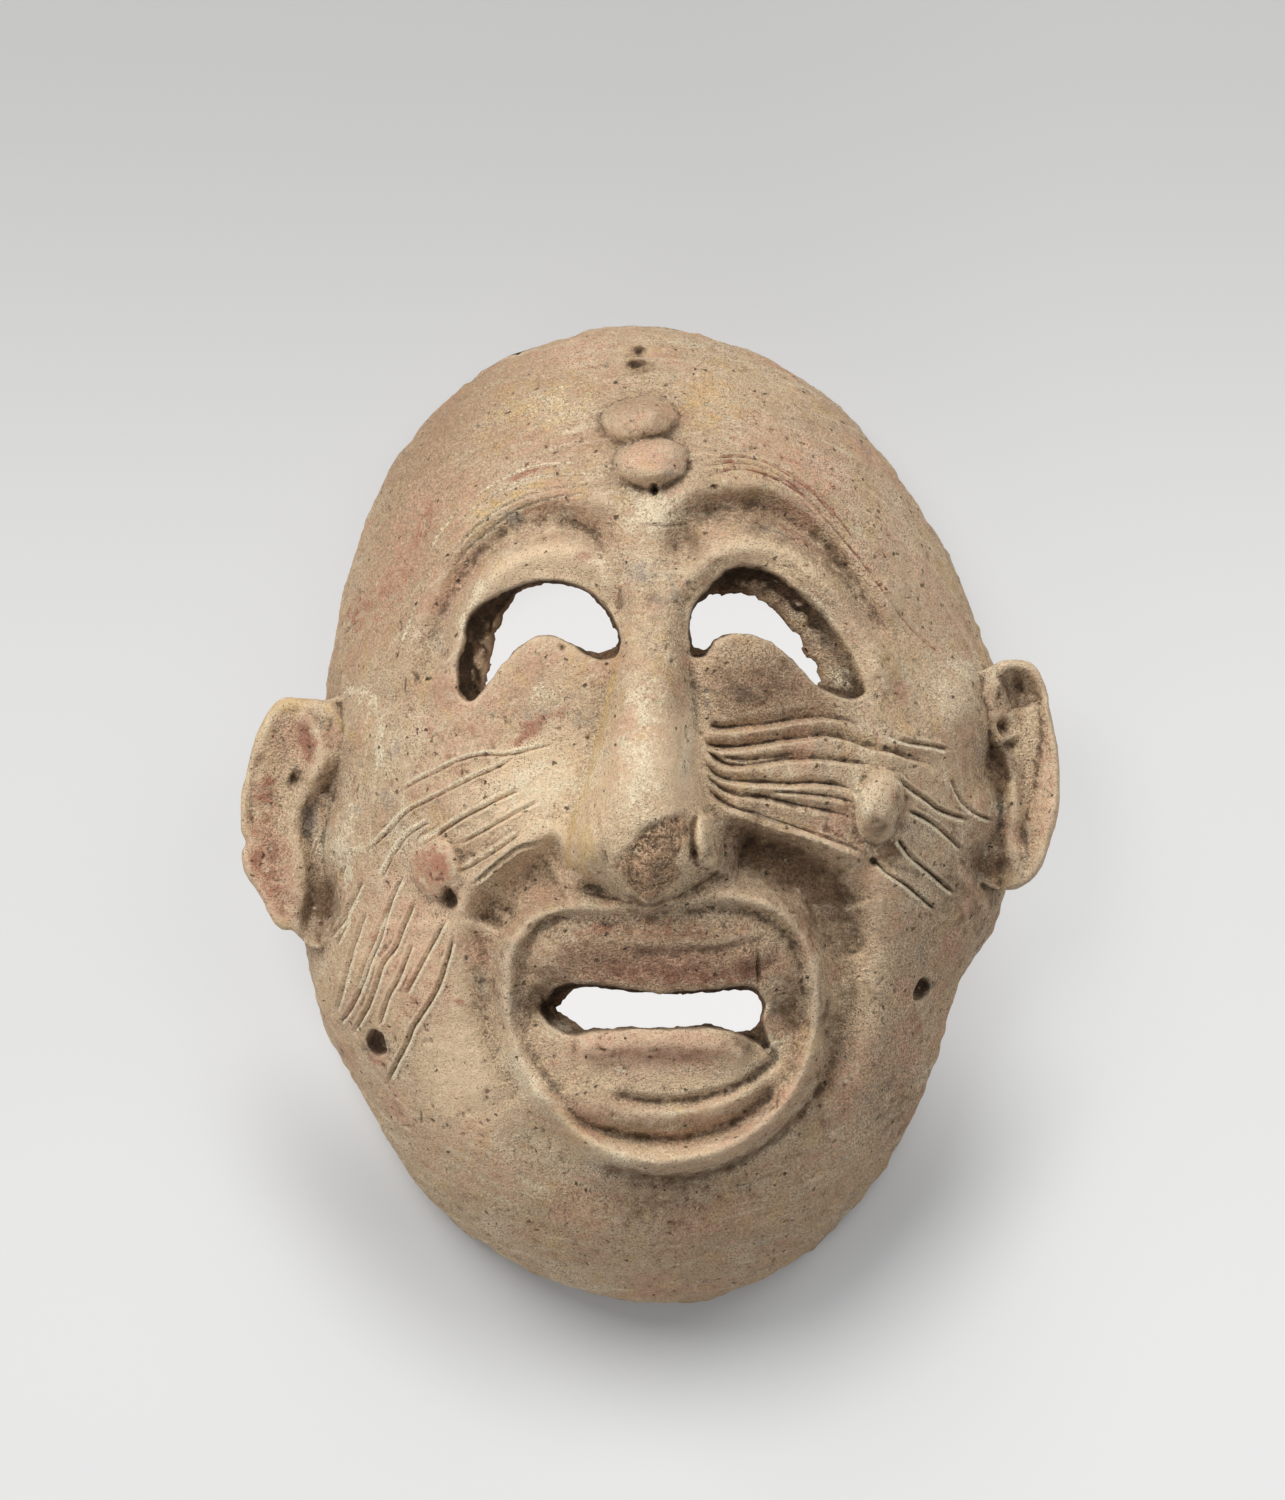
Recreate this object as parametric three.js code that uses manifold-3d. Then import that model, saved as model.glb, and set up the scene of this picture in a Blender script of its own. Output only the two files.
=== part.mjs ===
// A terracotta face mask: one fired-clay shell, bald and jug-eared, with crescent eyes and an open mouth cut
// right through the wall. It lies on its back rim, face up.
// Millimetres. The back rim is in the plane z = 0, +Z goes out through the face, +Y is towards the crown and
// +X is to the right as the face is looked at. The origin is the middle of the rim.
import * as THREE from "three";
import { mergeVertices } from "three/addons/utils/BufferGeometryUtils.js";
import Module from "manifold-3d";

// Driving dimensions
const DOME_DEPTH = 66; // rim to the face's general surface, at the middle
const WALL = 8.5; // clay thickness
const DOME_SHOULDER = 2.4; // exponents of the dome's profile: higher is boxier
const DOME_CROWN = 2.0;
// Radius of the rim's outline from the origin, every 15 degrees from +X towards +Y
const RIM_RADII = [
  89.8, 92.4, 92.6, 98.8, 106.9, 115.6, 119.6, 117.6, 110.9, 99.2, 89.2, 83.0,
  83.0, 88.0, 94.0, 98.9, 108.3, 115.7, 119.5, 116.6, 106.6, 95.6, 87.0, 89.4,
];
const RELIEF_FADE = [0.9, 1]; // shares of the rim's radius between which the relief dies away

// Grids of the face and of the hollow behind it, as cells across and up, and their spacing in the middle and
// at the rim, as shares of the even one
const FACE_CELLS = [42, 54];
const HOLLOW_CELLS = [16, 20];
const MIDDLE_SPACING = 0.75;
const RIM_SPACING = 0.25;

// Nose: [y, value] stations from the root down to the tip
const NOSE_AXIS = [[64, 1.8], [46, 0.4], [28, -0.6], [-1, -0.9], [-18, 0.4]];
const NOSE_HEIGHT = [
  [66, 0], [47, 6], [32, 11.5], [18, 17.5], [9, 21.5], [1, 23.6], [-6, 22.5], [-12, 19.5], [-16.5, 15.5],
  [-20, 9.5], [-22.6, 3.5], [-25, 0],
];
const NOSE_HALF_WIDTH = [
  [64, 10], [50, 9.8], [39, 10.5], [28, 12.2], [14, 15], [4, 17.5], [-3, 18.5], [-10, 18], [-19, 15.5],
  [-25, 13],
];
const NOSE_RIDGE_SHARE = 0.24; // flat share of the nose's half width
const NOSE_HOLLOW = { at: [-0.5, 16], radii: [8.5, 30], height: 15 };

// Ridges (height above 0) and hollows (below 0) along a line. left and right are the half widths of the
// cross-section on each side of the line, as it is followed.
const STROKES = [
  {
    name: "brow, left", height: 3.2, left: 4, right: 8,
    line: [[-2.4, 74.3], [-21.8, 77.2], [-38.8, 73], [-49.1, 60.9], [-56.3, 45.8], [-62.3, 27.9]],
  },
  {
    name: "brow, right", height: 4.6, left: 9, right: 4.6,
    line: [[2.8, 73.1], [18.6, 79.7], [32.7, 77.1], [45.2, 65.9], [56, 51.8], [61.8, 43.7]],
  },
  {
    name: "socket hollow, left", height: -3, left: 3.4, right: 4.6,
    line: [[-11, 59.6], [-14.3, 67.3], [-24.4, 70.7], [-35.4, 66.5], [-44.4, 56], [-50.1, 30.2]],
  },
  {
    name: "socket hollow, right", height: -3.8, left: 4.2, right: 4.8,
    line: [[6.6, 58.7], [9.5, 69.2], [22.4, 74.6], [37.7, 68.5], [48.5, 55.1], [57.3, 38.6]],
  },
  {
    name: "eyelid roll, left", height: 2.8, left: 4.6, right: 4.2,
    line: [[-7.7, 50.1], [-14.8, 62.1], [-30.1, 62.4], [-43, 50.9], [-48.2, 34.5]],
  },
  {
    name: "eyelid roll, right", height: 3, left: 4.6, right: 4.6,
    line: [[8.5, 51.1], [16.1, 63], [33.8, 62.9], [46.5, 51], [54.9, 35]],
  },
  {
    name: "fold from the nose, left", height: -4.6, left: 5, right: 6,
    line: [[-18.6, -5], [-31.4, -15], [-38.1, -28.1], [-37.6, -46], [-28.6, -67.3]],
  },
  {
    name: "fold from the nose, right", height: -5.2, left: 6, right: 6,
    line: [[18.4, -7.8], [33.2, -14.5], [44, -28.2], [44.8, -47.3], [37.2, -68.8]],
  },
  {
    name: "hollow under the cheek, left", height: -2.4, left: 7, right: 6,
    line: [[-21.4, -14.9], [-27.3, -18.5], [-32.1, -25.7]],
  },
  {
    name: "hollow under the cheek, right", height: -4, left: 7, right: 7,
    line: [[22.5, -5], [30.8, -8.3], [44.7, -18.6]],
  },
  {
    name: "lower edge of the cheek, left", height: 2.4, left: 5, right: 3.6,
    line: [[-20, -3.1], [-32.1, -7.8], [-43.8, -17.9], [-46.5, -25.8]],
  },
  {
    name: "lower edge of the cheek, right", height: 3, left: 3.8, right: 5,
    line: [[18.4, 2.2], [35.6, -4], [53.8, -10.8]],
  },
  {
    name: "jaw beside the fold, left", height: 1.8, left: 5, right: 8,
    line: [[-47.2, -23.4], [-45.4, -43.7], [-35.9, -68.9]],
  },
  {
    name: "jaw beside the fold, right", height: 2.2, left: 9, right: 5,
    line: [[55.8, -15.1], [54, -41.5], [46.7, -69.2]],
  },
  {
    name: "upper lip", height: 4, left: 4.6, right: 4.4,
    line: [[-25, -38.2], [-7.2, -33.4], [20.1, -34.4], [28.4, -38.2]],
  },
  {
    name: "lower lip", height: 2.8, left: 4.2, right: 3.8,
    line: [[-17.9, -55.9], [2.3, -54.9], [24.2, -58.3]],
  },
  {
    name: "groove over the upper lip", height: -2.8, left: 3, right: 3,
    line: [[-27.3, -33.8], [-19.9, -24.8], [2.3, -23.4], [28.8, -25.8], [36, -39.8]],
  },
  {
    name: "fold under the lower lip", height: -2.6, left: 2.8, right: 2.8,
    line: [[-9.1, -65.9], [5.2, -67.1], [20.9, -63.6], [27.5, -59.3]],
  },
  {
    name: "crease inside the mouth ring", height: -3.2, left: 2.8, right: 3,
    line: [[-15.5, -72.2], [-2.4, -75.8], [13.3, -73.9], [27.1, -64.8], [31.6, -58.8]],
  },
  {
    name: "hollow under the mouth ring", height: -2.6, left: 6, right: 6,
    line: [[-34.7, -70.1], [-25.2, -82.2], [2.3, -91.8], [30.1, -82.7], [41.8, -70.7]],
  },
];

// Soft swellings: centre, radii and height
const MOUNDS = [
  { name: "ridge between the brows", at: [1.1, 68.3], radii: [8.5, 13], height: 2.6 },
  { name: "lower lid, left", at: [-25, 33.5], radii: [16, 12], height: 2.8 },
  { name: "lower lid, right", at: [24.2, 33.5], radii: [17, 12], height: 3 },
  { name: "cheek, left", at: [-42, 4], radii: [22, 18], height: 3 },
  { name: "cheek, right", at: [40, 8], radii: [24, 17], height: 3.5 },
  { name: "wing of the nose, left", at: [-15, -6.8], radii: [5.2, 9.5], height: 6.5 },
  { name: "wing of the nose, right", at: [13.6, -6.8], radii: [5, 9], height: 8 },
  { name: "root of the ear, left", at: [-70.2, 23.2], radii: [8, 12], height: 3.5 },
  { name: "root of the ear, right", at: [77.4, 30.4], radii: [8, 11], height: 4 },
  { name: "chin", at: [2, -94], radii: [26, 14], height: 2.5 },
];

// The raised ring round the mouth: its crest, and its section. It is lower in the gap under the nose.
const RING_CREST = [
  [-20.2, -21.5], [-32.8, -30.6], [-34, -47], [-28.6, -62.5], [-17.4, -74.7], [-0.1, -82.1],
  [23.3, -76.2], [37, -60.2], [39.9, -41.1], [35.6, -26.9], [25.3, -20.1], [2.3, -20.9],
];
const RING = { height: 7.2, outerWidth: 5, innerWidth: 4.4, floor: 1.4 };
const RING_GAP = { below: -24, above: -17, halfWidth: [10, 20], loss: 0.55 };

// Clay pellets pressed on: centre, radii, and how far they stand out
const WARTS = [
  { name: "upper wart of the forehead", at: [-2.9, 94.6], radii: [9.4, 5.6], height: 5 },
  { name: "lower wart of the forehead", at: [0.4, 84.7], radii: [8.9, 6.6], height: 6.5 },
  { name: "wart of the left cheek", at: [-50.8, -14.5], radii: [5.2, 8.8], height: 5 },
  { name: "wart of the right cheek", at: [54.2, 3.3], radii: [5.8, 9], height: 7 },
];
const WART_SINK = 0.3; // share of a pellet's half thickness that is sunk in the face
const WART_SIDES = [12, 6];

// Furrows cut across the cheeks
const FURROW_WIDTH = 2.2;
const FURROW_DEPTH = 1.5;
const FURROWS = [
  [[13.7, 22], [26.5, 21.8], [39, 24.2], [49.5, 22]],
  [[12.5, 17.8], [18.5, 16.4], [42.5, 20], [70, 10.7]],
  [[13, 14], [20, 12.3], [34, 13.8], [48, 12.8]],
  [[16.5, 9.3], [31.5, 7.9], [47, 6.4]],
  [[16, 7.6], [25, 4.8], [48, 0]],
  [[-26, 17], [-44, 11.5], [-59, 1.5]],
  [[-27, 3.6], [-37, 0], [-47.5, -6]],
  [[-26, -5.6], [-33, -7.8], [-40.5, -13.6]],
];

// Eye and mouth openings: the edge on the face and the smaller edge inside, point for point
const OPENING_SIDES = 24;
const OPENINGS = [
  {
    name: "left eye",
    face: [
      [-41.5, 29.2], [-45.8, 35.5], [-43.5, 45], [-34, 54], [-23.3, 56.6], [-13.6, 53.4],
      [-8.2, 45.5], [-8, 39.2], [-14.5, 38.4], [-24, 43.2], [-30, 41.6], [-36, 35],
    ],
    inside: [
      [-38.5, 31.2], [-37.3, 38.5], [-35.8, 46.5], [-29.5, 54.2], [-22, 55], [-13.6, 51],
      [-8.8, 44.6], [-8.4, 38.6], [-14.5, 37], [-24, 41.6], [-30, 40], [-35.4, 34.6],
    ],
  },
  {
    name: "right eye",
    face: [
      [43, 28.8], [50.8, 29.6], [48.5, 37.5], [41.2, 48.2], [32.2, 56], [22.4, 58.6],
      [13.2, 53.6], [9.4, 46], [10.6, 39.2], [17, 43], [25.3, 43.9], [33.5, 38.6],
    ],
    inside: [
      [38.6, 31.6], [40.2, 32.2], [38, 37], [34.2, 43.2], [27.8, 49.8], [20, 52.5],
      [13.6, 52], [9.9, 46], [10.8, 38.4], [17, 41.4], [25.3, 42.3], [32.6, 37.6],
    ],
  },
  {
    name: "mouth",
    face: [
      [-28.5, -46.1], [-21.4, -39.4], [-9, -40.4], [3.2, -41.8], [20.5, -41.1], [30.7, -40.9],
      [35.9, -44.5], [29.5, -55.4], [21, -51], [2.1, -50.4], [-13.3, -50.9], [-22.5, -52.4],
    ],
    inside: [
      [-22.2, -45.5], [-18.6, -41.6], [-9, -41.2], [3.2, -42.4], [19.8, -41.8], [25, -43],
      [26.4, -46.5], [24.2, -50.6], [19.4, -50.6], [2.1, -50], [-12, -50.4], [-18.8, -48],
    ],
  },
];

// Cord holes through the jaw
const CORD_HOLE_RADIUS = 2.3;
const CORD_HOLES = [[-66.4, -55.3], [65.9, -42]];

// Ears: plates set against the side walls, dished in front. stations are [y, outer edge, inner edge] from the
// lobe up. level is the height of the outer edge's front over the rim plane.
const EARS = [
  {
    name: "left", level: 25, out: -1,
    stations: [
      [-28.6, 87.2, 86], [-26, 90.2, 84.6], [-20, 93.7, 83.5], [-12, 97, 83.4], [-4, 98.9, 84], [4, 99.1, 82],
      [12, 97.8, 77.5], [18, 95.6, 75.5], [24, 91.6, 77], [27.6, 88.4, 79.5], [29.2, 86, 82.5],
    ],
  },
  {
    name: "right", level: 27, out: 1,
    stations: [
      [-17.6, 91, 89.6], [-15, 93, 88], [-9, 96.1, 87.4], [-2, 98.1, 87.3], [6, 99.1, 87.4], [14, 98.7, 85.6],
      [21, 98, 82.6], [28, 96.9, 83], [33.5, 95.2, 84.4], [36.8, 92.8, 86], [38.4, 90.4, 87.6],
    ],
  },
];
// Front of an ear's section: [share of the way from the outer edge to the inner one, height over level]
const EAR_FRONT = [[0, -0.8], [0.1, 0.9], [0.3, -1.2], [0.64, -1.6], [0.88, 1.6], [1, 1.8], [1.14, -3.6]];
const EAR_FOOT = { front: -7, back: -15, reach: 16 }; // heights over level, and how far it runs into the wall
const EAR_EDGE = 6; // thickness at the outer edge

const CLAY = new THREE.MeshStandardMaterial({ color: 0xb99a7a, roughness: 0.95, metalness: 0 });

const wasm = await Module();
wasm.setup();

const clamp01 = (t) => Math.min(1, Math.max(0, t));
const smooth = (from, to, t) => {
  const s = clamp01((t - from) / (to - from));
  return s * s * (3 - 2 * s);
};
const gauss = (t) => Math.exp(-t * t);

// A smooth curve through [station, value] pairs in falling order, held past the ends.
function alongStations(stations, at) {
  const last = stations.length - 1;
  if (at >= stations[0][0]) return stations[0][1];
  if (at <= stations[last][0]) return stations[last][1];
  const i = stations.findIndex(([s]) => at > s) - 1;
  const slope = (k) => {
    const [before, after] = [stations[Math.max(0, k - 1)], stations[Math.min(last, k + 1)]];
    return (after[1] - before[1]) / (after[0] - before[0]);
  };
  const span = stations[i + 1][0] - stations[i][0];
  const t = (at - stations[i][0]) / span;
  const [v0, v1, m0, m1] = [stations[i][1], stations[i + 1][1], slope(i) * span, slope(i + 1) * span];
  return v0 + t * m0 + t * t * (3 * (v1 - v0) - 2 * m0 - m1) + t * t * t * (2 * (v0 - v1) + m0 + m1);
}

// The rim's radius in any direction, by a smooth closed curve through RIM_RADII.
function rimRadius(x, y) {
  const count = RIM_RADII.length;
  const turn = ((Math.atan2(y, x) / (2 * Math.PI) + 1) % 1) * count;
  const i = Math.floor(turn);
  const t = turn - i;
  const [a, b, c, d] = [-1, 0, 1, 2].map((k) => RIM_RADII[(i + k + count) % count]);
  return b + 0.5 * t * (c - a + t * (2 * a - 5 * b + 4 * c - d + t * (3 * (b - c) + d - a)));
}

// Height of a dome over the rim plane whose outline is the rim's drawn in by inset.
function domeHeight(x, y, inset) {
  const share = clamp01(Math.hypot(x, y) / (rimRadius(x, y) - inset));
  return (DOME_DEPTH - inset) * (1 - share ** DOME_SHOULDER) ** (1 / DOME_CROWN);
}

// Distance from a point to a line, how far along the line it is from 0 to 1, and on which side of it.
function toLine(x, y, points) {
  let best = { distance: Infinity, along: 0, side: 1 };
  for (let i = 0; i + 1 < points.length; i++) {
    const [ax, ay] = [points[i].x, points[i].y];
    const [dx, dy] = [points[i + 1].x - ax, points[i + 1].y - ay];
    const t = clamp01(((x - ax) * dx + (y - ay) * dy) / (dx * dx + dy * dy));
    const [ex, ey] = [x - ax - t * dx, y - ay - t * dy];
    const distance = Math.hypot(ex, ey);
    if (distance < best.distance)
      best = { distance, along: (i + t) / (points.length - 1), side: dx * ey - dy * ex > 0 ? 1 : -1 };
  }
  return best;
}

function smoothLine(corners, closed = false) {
  const points = corners.map(([x, y]) => new THREE.Vector3(x, y, 0));
  const curve = new THREE.CatmullRomCurve3(points, closed, "catmullrom");
  return curve.getPoints(6 * corners.length);
}

for (const stroke of STROKES) stroke.points = smoothLine(stroke.line);
const ringPoints = smoothLine(RING_CREST, true);

// A stroke runs out over the first and last parts of its line.
function strokeHeight(x, y, { points, height, left, right }) {
  const [runOut, least] = [0.12, 0.15];
  const { distance, along, side } = toLine(x, y, points);
  const fade = least + (1 - least) * smooth(0, runOut, along) * smooth(0, runOut, 1 - along);
  return height * fade * gauss(distance / (side > 0 ? left : right));
}

const moundHeight = (x, y, { at, radii, height }) =>
  height * gauss(Math.hypot((x - at[0]) / radii[0], (y - at[1]) / radii[1]));

function noseHeight(x, y) {
  const share = Math.abs(x - alongStations(NOSE_AXIS, y)) / alongStations(NOSE_HALF_WIDTH, y);
  return Math.max(0, alongStations(NOSE_HEIGHT, y)) * (1 - smooth(NOSE_RIDGE_SHARE, 1, share));
}

function ringHeight(x, y) {
  const { height, outerWidth, innerWidth, floor } = RING;
  const { distance, side } = toLine(x, y, ringPoints);
  const { below, above, halfWidth, loss } = RING_GAP;
  const left = 1 - loss * smooth(below, above, y) * smooth(halfWidth[1], halfWidth[0], Math.abs(x));
  if (side < 0) return left * height * gauss(distance / outerWidth);
  return left * (floor + (height - floor) * gauss(distance / innerWidth));
}

// The relief stands on the dome and dies away at the rim.
function faceHeight(x, y) {
  const share = Math.hypot(x, y) / rimRadius(x, y);
  let relief = noseHeight(x, y) + ringHeight(x, y);
  for (const stroke of STROKES) relief += strokeHeight(x, y, stroke);
  for (const mound of MOUNDS) relief += moundHeight(x, y, mound);
  return domeHeight(x, y, 0) + relief * (1 - smooth(...RELIEF_FADE, share));
}

// The hollow follows the dome, the nose and, faintly, the mouth ring.
function insideHeight(x, y) {
  const dome = domeHeight(x, y, WALL);
  return dome + (moundHeight(x, y, NOSE_HOLLOW) + 0.4 * ringHeight(x, y)) * smooth(0, WALL * 2, dome);
}

// A mesh's geometry as a solid that can be joined and cut.
function solid(geometry) {
  const bare = geometry.clone();
  bare.deleteAttribute("normal");
  bare.deleteAttribute("uv");
  const merged = mergeVertices(bare, 1e-4);
  return new wasm.Manifold(
    new wasm.Mesh({
      numProp: 3,
      vertProperties: merged.attributes.position.array,
      triVerts: new Uint32Array(merged.index.array),
    }),
  );
}

function solidOf(points, index) {
  const form = new THREE.BufferGeometry();
  form.setAttribute("position", new THREE.Float32BufferAttribute(points.flat(), 3));
  form.setIndex(index);
  return solid(form);
}

// Even steps from -1 to 1, drawn closer in the middle and towards the ends.
function spread(step) {
  const fifth = (RIM_SPACING + 2 * MIDDLE_SPACING - 3) / 2;
  const third = 1 - MIDDLE_SPACING - fifth;
  return MIDDLE_SPACING * step + third * step ** 3 + fifth * step ** 5;
}

// A point of the square from -1 to 1, drawn round into the rim's outline less an inset.
function domePoint(across, up, inset) {
  const [s, t] = [spread(across), spread(up)];
  const [x, y] = [s * Math.sqrt(1 - (t * t) / 2), t * Math.sqrt(1 - (s * s) / 2)];
  const radius = rimRadius(x, y) - inset;
  return [x * radius, y * radius];
}

// A closed dome: a grid raised to height(x, y), with its edge at the level edgeAt and a base drawn to baseAt.
// Each cell is split along the diagonal that lies closer to the form.
function dome([columns, rows], inset, height, edgeAt, baseAt) {
  const points = [];
  const number = (i, j) => j * (columns + 1) + i;
  for (let j = 0; j <= rows; j++)
    for (let i = 0; i <= columns; i++) {
      const [x, y] = domePoint((2 * i) / columns - 1, (2 * j) / rows - 1, inset);
      const onEdge = i === 0 || j === 0 || i === columns || j === rows;
      points.push([x, y, onEdge ? edgeAt : height(x, y)]);
    }
  const mean = (corners, axis) => corners.reduce((sum, c) => sum + points[c][axis], 0) / corners.length;
  const index = [];
  for (let j = 0; j < rows; j++)
    for (let i = 0; i < columns; i++) {
      const corners = [number(i, j), number(i + 1, j), number(i + 1, j + 1), number(i, j + 1)];
      const [a, b, c, d] = corners;
      const form = height(mean(corners, 0), mean(corners, 1));
      const split = Math.abs(mean([a, c], 2) - form) < Math.abs(mean([b, d], 2) - form);
      index.push(...(split ? [a, b, c, a, c, d] : [a, b, d, b, c, d]));
    }
  const edge = [];
  for (let i = 0; i < columns; i++) edge.push(number(i, 0));
  for (let j = 0; j < rows; j++) edge.push(number(columns, j));
  for (let i = columns; i > 0; i--) edge.push(number(i, rows));
  for (let j = rows; j > 0; j--) edge.push(number(0, j));
  const middle = points.push([0, 0, baseAt]) - 1;
  edge.forEach((a, k) => index.push(middle, edge[(k + 1) % edge.length], a));
  return solidOf(points, index);
}

const outerForm = () => dome(FACE_CELLS, 0, faceHeight, 0, 0);

// The hollow runs on below the rim plane, so that it cuts the base open.
const hollowForm = () => dome(HOLLOW_CELLS, WALL, insideHeight, -1, -12);

// A solid through matching closed sections. flat is the first section's corners in its own plane, and the
// sections are stacked away from the side that it is seen from.
function loft(stack, flat) {
  const sections = THREE.ShapeUtils.isClockWise(flat) ? stack.map((section) => section.toReversed()) : stack;
  const count = flat.length;
  const last = (sections.length - 1) * count;
  const index = [];
  const outline = sections === stack ? flat : flat.toReversed();
  for (const [a, b, c] of THREE.ShapeUtils.triangulateShape(outline, []))
    index.push(a, b, c, last + c, last + b, last + a);
  for (let level = 0; level + 1 < sections.length; level++)
    for (let i = 0; i < count; i++) {
      const [a, b] = [level * count + i, level * count + ((i + 1) % count)];
      index.push(a, a + count, b, b, a + count, b + count);
    }
  return solidOf(sections.flat(), index);
}

// A closed outline's corners, spaced along a smooth curve through its points.
function roundOutline(outline) {
  const curve = new THREE.CatmullRomCurve3(outline.map(([x, y]) => new THREE.Vector3(x, y, 0)), true);
  const corners = Array.from({ length: OPENING_SIDES }, (_, i) => curve.getPoint(i / OPENING_SIDES));
  return corners.map(({ x, y }) => [x, y]);
}

// An opening flares from its edge inside the mask to its wider edge on the face.
function openingForm({ face, inside }) {
  const clear = 25;
  const [outer, inner] = [face, inside].map(roundOutline);
  const onFace = outer.map(([x, y]) => [x, y, faceHeight(x, y)]);
  const onInside = inner.map(([x, y]) => [x, y, insideHeight(x, y)]);
  const raised = (section, by) => section.map(([x, y, z]) => [x, y, z + by]);
  const flat = outer.map(([x, y]) => new THREE.Vector2(x, y));
  return loft([raised(onFace, clear), onFace, onInside, raised(onInside, -clear)], flat);
}

function wartForm({ at, radii, height }) {
  const halfThickness = height / (1 - WART_SINK);
  const form = new THREE.SphereGeometry(1, ...WART_SIDES);
  form.scale(radii[0], radii[1], halfThickness);
  form.translate(at[0], at[1], faceHeight(at[0], at[1]) - halfThickness * WART_SINK);
  return solid(form);
}

// A furrow is cut by a four-sided bar swept along the cheek with one edge down.
function furrowForm(line) {
  const path = new THREE.CatmullRomCurve3(line.map(([x, y]) => new THREE.Vector3(x, y, 0)));
  const onFace = path.getPoints(3 * line.length).map(({ x, y }) => new THREE.Vector3(x, y, faceHeight(x, y)));
  const corners = [[FURROW_DEPTH, 0], [0, FURROW_WIDTH / 2], [-FURROW_DEPTH, 0], [0, -FURROW_WIDTH / 2]];
  const section = new THREE.Shape(corners.map(([x, y]) => new THREE.Vector2(x, y)));
  const extrudePath = new THREE.CatmullRomCurve3(onFace);
  return solid(new THREE.ExtrudeGeometry(section, { steps: 2 * line.length + 1, extrudePath }));
}

// A cord hole runs square to the wall.
function cordHoleForm([x, y]) {
  const step = 1;
  const normal = new THREE.Vector3(
    (faceHeight(x - step, y) - faceHeight(x + step, y)) / (2 * step),
    (faceHeight(x, y - step) - faceHeight(x, y + step)) / (2 * step),
    1,
  ).normalize();
  const drill = new THREE.CylinderGeometry(CORD_HOLE_RADIUS, CORD_HOLE_RADIUS, 4 * WALL, 12);
  drill.applyQuaternion(new THREE.Quaternion().setFromUnitVectors(new THREE.Vector3(0, 1, 0), normal));
  drill.translate(x, y, faceHeight(x, y));
  return solid(drill);
}

// An ear's section at a station: dished in front, then down behind the inner edge and into the side wall.
function earForm({ stations, level, out }) {
  const sections = stations.map(([y, outer, inner]) => {
    const width = outer - inner;
    const thick = clamp01(width / EAR_EDGE);
    const front = EAR_FRONT.map(([share, rise]) => [outer - share * width, level + rise * thick]);
    const foot = inner - EAR_FOOT.reach;
    const back = [[foot, level + EAR_FOOT.front], [foot, level + EAR_FOOT.back], [outer, level - EAR_EDGE]];
    return [...front, ...back].map(([x, z]) => [out * x, y, z]);
  });
  return loft(sections, sections[0].map(([x, , z]) => new THREE.Vector2(x, z)));
}

function maskSolid() {
  const pieces = [...EARS.map(earForm), ...WARTS.map(wartForm)];
  const joined = pieces.reduce((form, piece) => form.add(piece), outerForm());
  const cuts = [
    hollowForm(), ...OPENINGS.map(openingForm), ...CORD_HOLES.map(cordHoleForm), ...FURROWS.map(furrowForm),
  ];
  return cuts.reduce((form, cut) => form.subtract(cut), joined);
}

function meshOf(made, name, material) {
  const { vertProperties, triVerts } = made.getMesh();
  const geometry = new THREE.BufferGeometry();
  geometry.setAttribute("position", new THREE.BufferAttribute(vertProperties, 3));
  geometry.setIndex(new THREE.BufferAttribute(triVerts, 1));
  geometry.computeVertexNormals();
  const mesh = new THREE.Mesh(geometry, material);
  mesh.name = name;
  return mesh;
}

const mask = new THREE.Group();
mask.add(meshOf(maskSolid(), "clay_mask", CLAY));
export default mask;
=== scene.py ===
"""Looks of the terracotta mask: one fired-clay piece with its finish, a pale floor, studio light and a camera."""

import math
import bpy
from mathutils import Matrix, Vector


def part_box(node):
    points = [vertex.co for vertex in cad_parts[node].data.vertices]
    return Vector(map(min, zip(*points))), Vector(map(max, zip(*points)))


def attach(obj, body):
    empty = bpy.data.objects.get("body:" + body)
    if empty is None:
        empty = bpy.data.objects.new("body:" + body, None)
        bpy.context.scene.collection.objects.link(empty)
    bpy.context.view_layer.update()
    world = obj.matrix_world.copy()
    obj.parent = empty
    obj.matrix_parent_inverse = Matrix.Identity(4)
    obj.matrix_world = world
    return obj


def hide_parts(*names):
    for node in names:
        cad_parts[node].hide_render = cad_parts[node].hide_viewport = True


bl_info = {
    "name": "Terracotta mask",
    "version": (1, 0, 0),
    "blender": (4, 5, 0),
    "location": "3D View > Sidebar > Mask",
    "description": "Models and finishes an ancient fired-clay mask that lies on its back rim",
    "category": "Add Mesh",
}

from types import SimpleNamespace

import bpy
import numpy as np
from bpy.props import FloatProperty, FloatVectorProperty, IntProperty, PointerProperty
from mathutils import Vector

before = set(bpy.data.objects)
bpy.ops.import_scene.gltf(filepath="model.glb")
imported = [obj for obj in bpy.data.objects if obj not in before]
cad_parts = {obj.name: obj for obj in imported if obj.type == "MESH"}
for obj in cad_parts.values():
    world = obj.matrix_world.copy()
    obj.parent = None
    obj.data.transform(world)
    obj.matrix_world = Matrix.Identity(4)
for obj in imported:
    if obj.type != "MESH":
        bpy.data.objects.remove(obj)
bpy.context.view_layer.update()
NODE = "clay_mask"
MM = 0.001

# ---- Form of the mask, in millimetres -------------------------------------------------------------------------
# The frame is the CAD's: the back rim is in the plane z = 0, +Z goes out through the face and +Y to the crown.

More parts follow.
